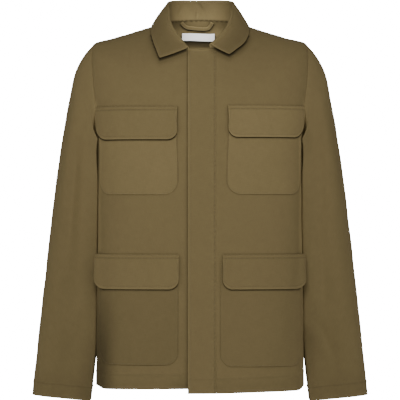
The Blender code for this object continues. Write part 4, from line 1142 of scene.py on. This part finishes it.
# ==== Hanger loop and neck label ==============================================
# A narrow folded strip of twill hangs from the neck seam inside the back, for a coat hook. Under it a bare woven
# satin label is sewn to the back along its edges.

LOOP_WIDTH = 0.0060
LOOP_CLOTH = 0.0012
LOOP_GAP = 0.0004         # between the loop's ends and the back
LOOP_SAG = 0.0024         # and so much more at its middle
LOOP_BOW = 0.0004
LOOP_POINTS = 60
LOOP_ACROSS = 9
LOOP_SEWN_ROWS = (1.2, 6.8)
LOOP_COLUMNS = ("x", "z")
LOOP_PATH = (
    (-0.0362, 0.0155),
    (-0.0328, 0.0118),
    (-0.0275, 0.0085),
    (-0.0150, 0.0066),
    (0.0000, 0.0054),
    (0.0100, 0.0048),
    (0.0172, 0.0064),
    (0.0215, 0.0112),
    (0.0242, 0.0155),
)
LABEL_EDGES = (-0.0350, 0.0285)
LABEL_HEIGHTS = (-0.0053, -0.0193)
LABEL_CLOTH = 0.0008
LABEL_GAP = 0.0006
LABEL_CUSHION = 0.0006
LABEL_WAVE = 0.0006       # its long edges are not quite straight


def inside_back(x, z, stand):
    """Points inside the back at given x and height, standing off its inner face; turn and height settle in turns."""
    down = np.full(np.shape(x), 0.01)
    for _ in range(12):
        turn = turn_at_x(x, down, "back")
        down = down_at_z(turn, z, "back")
    return body_cloth(turn, down, "back", -(CLOTH / 2 + stand), uneven=0.0)


def loop_layer():
    """Ribbon carried along the loop's path: path point + sideways direction * offset, standing off in its middle."""
    x = np.linspace(LOOP_PATH[0][0], LOOP_PATH[-1][0], LOOP_POINTS)
    z = table_curve(LOOP_PATH, LOOP_COLUMNS, "z", x)
    stand = LOOP_GAP + LOOP_CLOTH / 2 + LOOP_SAG * np.sin(math.pi * np.linspace(0, 1, len(x)))
    way = unit(np.stack((np.gradient(x), np.gradient(z)), axis=-1))
    share = np.linspace(-1, 1, LOOP_ACROSS)[:, None]
    across = share / 2 * LOOP_WIDTH
    bow = LOOP_BOW * (1 - share**2)
    return inside_back(x[None] - way[None, :, 1] * across, z[None] + way[None, :, 0] * across, stand[None] + bow)[::-1]


LOOP = loop_layer()
# The loop's olive is painted darker as painted shade.
loop = cloth_piece("hanger_loop_ribbon", LOOP, LOOP_CLOTH, twill("loop_twill", 0.84, pitch=0.0008), "hanger_loop",
                   edge_width=0.0012)
loop_lines = [on_cloth(LOOP, LOOP_CLOTH, row, np.arange(1, LOOP_POINTS - 1)) for row in LOOP_SEWN_ROWS]
loop_stitches = stitches("hanger_loop_stitches", loop_lines, THREAD, pitch=0.0026)


def satin_look(tree):
    """Bare white satin ribbon: very fine ribs along the weft and a soft lustre."""
    ribs = stretched_noise(tree, shader_node(tree, "UVMap", uv_map="cut").outputs["UV"], (120.0, 3200.0, 1.0))
    return {"Base Color": two_tone(tree, ribs, (0.84, 0.82, 0.80, 1.0), (0.95, 0.94, 0.93, 1.0)),
            "Normal": bumped(tree, ribs, 0.3, 0.00008)}


def label_layer():
    """Flat grid between the label's edges, cushioned a little between its sewn ends."""
    x, z = np.meshgrid(np.linspace(*LABEL_EDGES, 50), np.linspace(*LABEL_HEIGHTS, 16))
    share = (x - LABEL_EDGES[0]) / (LABEL_EDGES[1] - LABEL_EDGES[0])
    cushion = LABEL_CUSHION * np.clip(np.sin(math.pi * share) * 3, 0, 1)
    z = z + LABEL_WAVE * np.sin(share * 5.0 + 0.5)
    return inside_back(x, z, LABEL_GAP + LABEL_CLOTH / 2 + cushion)


LABEL = label_layer()
label = cloth_piece("neck_label_satin", LABEL, LABEL_CLOTH, finish_with("label_satin", satin_look, Roughness=0.5),
                    "neck_label")


# ==== Shade where one piece lies over another =================================
# Painted shade where cloth runs in under a pressed edge: below the flaps and the collar's fall, beside the fly band,
# round the pockets, under the loop and label. Kept on each lower piece as an attribute of its points, it darkens its
# colour.

TIP_ROWS = 26             # rows of the collar at each leaf point


def outline_of(layer):
    """Outline of a piece as the front shows it: the x and z of the points round its grid's edge."""
    edge = np.concatenate((layer[0], layer[1:, -1], layer[-1, -2::-1], layer[-2:0:-1, 0]))
    return edge[:, [0, 2]]


def outline_distance(points, outline):
    """Distance to a closed outline, negative inside. Inside is told by counting the crossings of a level line."""
    nearest = np.full(len(points), 1.0)
    crossings = np.zeros(len(points), dtype=int)
    for corner, step in zip(outline, np.roll(outline, -1, axis=0) - outline):
        gap = points - corner
        share = np.clip((gap @ step) / max(step @ step, 1e-12), 0.0, 1.0)
        nearest = np.minimum(nearest, np.linalg.norm(gap - share[:, None] * step, axis=1))
        over = (corner[1] > points[:, 1]) != (corner[1] + step[1] > points[:, 1])
        if step[1]:
            crossings += over & (points[:, 0] < corner[0] + step[0] * (points[:, 1] - corner[1]) / step[1])
    return np.where(crossings % 2 == 1, -nearest, nearest)


def shade_under(piece, layer, strength, soft, fall=0.0, aside=0.0):
    """Darkens a piece's front face near the outline of what lies over it, moved down and aside as a shadow is."""
    mesh, count = piece.data, len(piece.data.vertices)
    points, outs, values = (np.empty(count * size, dtype=np.float32) for size in (3, 3, 1))
    mesh.vertices.foreach_get("co", points)
    mesh.vertex_normals.foreach_get("vector", outs)
    mesh.attributes["shade"].data.foreach_get("value", values)
    points = points.reshape(-1, 3)[:, [0, 2]].astype(float)
    outline = outline_of(layer) + np.array((aside, -fall))
    low, high = outline.min(axis=0) - 4 * soft, outline.max(axis=0) + 4 * soft
    near = np.all((points > low) & (points < high), axis=1) & (outs[1::3] < 0.1)
    values[near] *= 1.0 - strength * bell(np.maximum(outline_distance(points[near], outline), 0.0), 0.0, soft)
    mesh.attributes["shade"].data.foreach_set("value", values)


for side in ("left", "right"):
    for place in ("chest", "lower"):
        pocket, pocket_layer, pocket_shade = PATCHES[f"{place}_pocket_{side}"]
        _, flap_layer, flap_shade = PATCHES[f"{place}_flap_{side}"]
        shade_under(pocket, flap_layer, flap_shade, 0.0012, fall=0.0018)
        shade_under(FRONTS["front_" + side], flap_layer, 0.45, 0.0012, fall=0.0010)
        shade_under(FRONTS["front_" + side], pocket_layer, pocket_shade, 0.0016)
shade_under(FRONTS["front_right"], BAND, 0.50, 0.0016, aside=-0.0004)
shade_under(back, LOOP, 0.92, 0.0016, fall=0.0020)
shade_under(back, LOOP, 0.30, 0.0120)
shade_under(back, LABEL, 0.70, 0.0014, fall=0.0016)
shade_under(back, LABEL, 0.80, 0.0045, fall=0.0090)
for leaf_rows, tip_rows in ((slice(0, HALF_ROWS), slice(0, TIP_ROWS)),
                            (slice(HALF_ROWS - 1, None), slice(-TIP_ROWS, None))):
    leaf, tip = COLLAR[leaf_rows, LEAF_COLUMN:], COLLAR[tip_rows, LEAF_COLUMN:]
    for lower in (FRONTS["front_left"], FRONTS["front_right"], band):
        shade_under(lower, leaf, 0.50, 0.0015, fall=0.0016)
        shade_under(lower, tip, 0.70, 0.0016, fall=0.0046)
        shade_under(lower, tip, 0.25, 0.0060, fall=0.0085)


# ==== The studio ==============================================================
# A pale plain floor under the hanging garment and white surroundings. Broad soft lamps stand in front, to both sides
# and behind, a narrow one shines into the neck, and the camera is level with the middle of the garment.

FLOOR_Z = -1.0
FLOOR_RADIUS = 4.0
FLOOR_SIDES = 96
SEEN_WHITE = 20.0         # how bright the surroundings are to the camera
FILL_LIGHT = 0.20         # and as light on the garment
LAMPS = (                 # name, place, what it faces, size, power
    ("front_lamp", (-0.12, -1.6, 0.42), (0.0, 0.0, -0.20), 0.6, 14.5),
    ("left_lamp", (2.3, -1.4, 0.1), (0.0, 0.0, -0.35), 0.9, 16.0),
    ("right_lamp", (-2.3, -1.4, 0.1), (0.0, 0.0, -0.35), 0.9, 16.5),
    ("back_lamp", (0.2, 2.4, 0.3), (0.0, 0.0, -0.30), 0.8, 13.0),
)
NECK_LAMP_POWER = 130.0
NECK_LAMP_WIDTH = 5.0


def studio_object(name, data, place=(0.0, 0.0, 0.0), faces=None):
    """Object of the studio at its place, turned to face a point where one is given."""
    made = bpy.data.objects.new(name, data)
    made.location = place
    if faces:
        x, y, z = np.array(faces) - np.array(place)
        made.rotation_euler = (math.pi / 2 + math.atan2(z, math.hypot(x, y)), 0.0, math.atan2(-x, y))
    bpy.context.collection.objects.link(made)
    return made


def studio_floor():
    """Round pale floor: one flat disc."""
    angle = np.linspace(0, 2 * math.pi, FLOOR_SIDES, endpoint=False)
    points = np.stack((FLOOR_RADIUS * np.cos(angle), FLOOR_RADIUS * np.sin(angle), FLOOR_Z + 0 * angle), axis=-1)
    mesh = bpy.data.meshes.new("studio_floor")
    mesh.from_pydata(points.tolist(), [], [tuple(range(FLOOR_SIDES))])
    mesh.materials.append(finish_with("studio_white", Base_Color=(0.90, 0.90, 0.90, 1.0), Roughness=0.9))
    studio_object("studio_floor", mesh)


def studio_world():
    """White surroundings: bright where the camera sees them, weaker as light on the garment."""
    world = bpy.data.worlds.new("studio_world")
    world.use_nodes = True
    tree = world.node_tree
    fill, seen = (shader_node(tree, "Background", {"Color": (1.0, 1.0, 1.0, 1.0), "Strength": strength}).outputs[0]
                  for strength in (FILL_LIGHT, SEEN_WHITE))
    by_camera = shader_node(tree, "LightPath").outputs["Is Camera Ray"]
    mix = shader_node(tree, "MixShader", {0: by_camera, 1: fill, 2: seen})
    feed(tree, tree.nodes["World Output"].inputs["Surface"], mix.outputs[0])
    bpy.context.scene.world = world


studio_floor()
studio_world()
for name, place, faces, size, power in LAMPS:
    lamp = bpy.data.lights.new(name, "AREA")
    lamp.shape, lamp.size, lamp.energy = "SQUARE", size, power
    studio_object(name, lamp, place, faces)
neck_lamp = bpy.data.lights.new("neck_lamp", "SPOT")
neck_lamp.energy, neck_lamp.spot_size, neck_lamp.spot_blend = NECK_LAMP_POWER, math.radians(NECK_LAMP_WIDTH), 0.8
neck_lamp.shadow_soft_size = 0.03
studio_object("neck_lamp", neck_lamp, (0.0, -1.3, 0.10), (0.0, 0.07, 0.006))
camera = studio_object("studio_camera", bpy.data.cameras.new("studio_camera"), (0.0, -6.0, -0.3302))
camera.rotation_euler = (math.pi / 2, 0.0, 0.0)
camera.data.sensor_width = 36.0
camera.data.lens = 281.25
bpy.context.scene.camera = camera
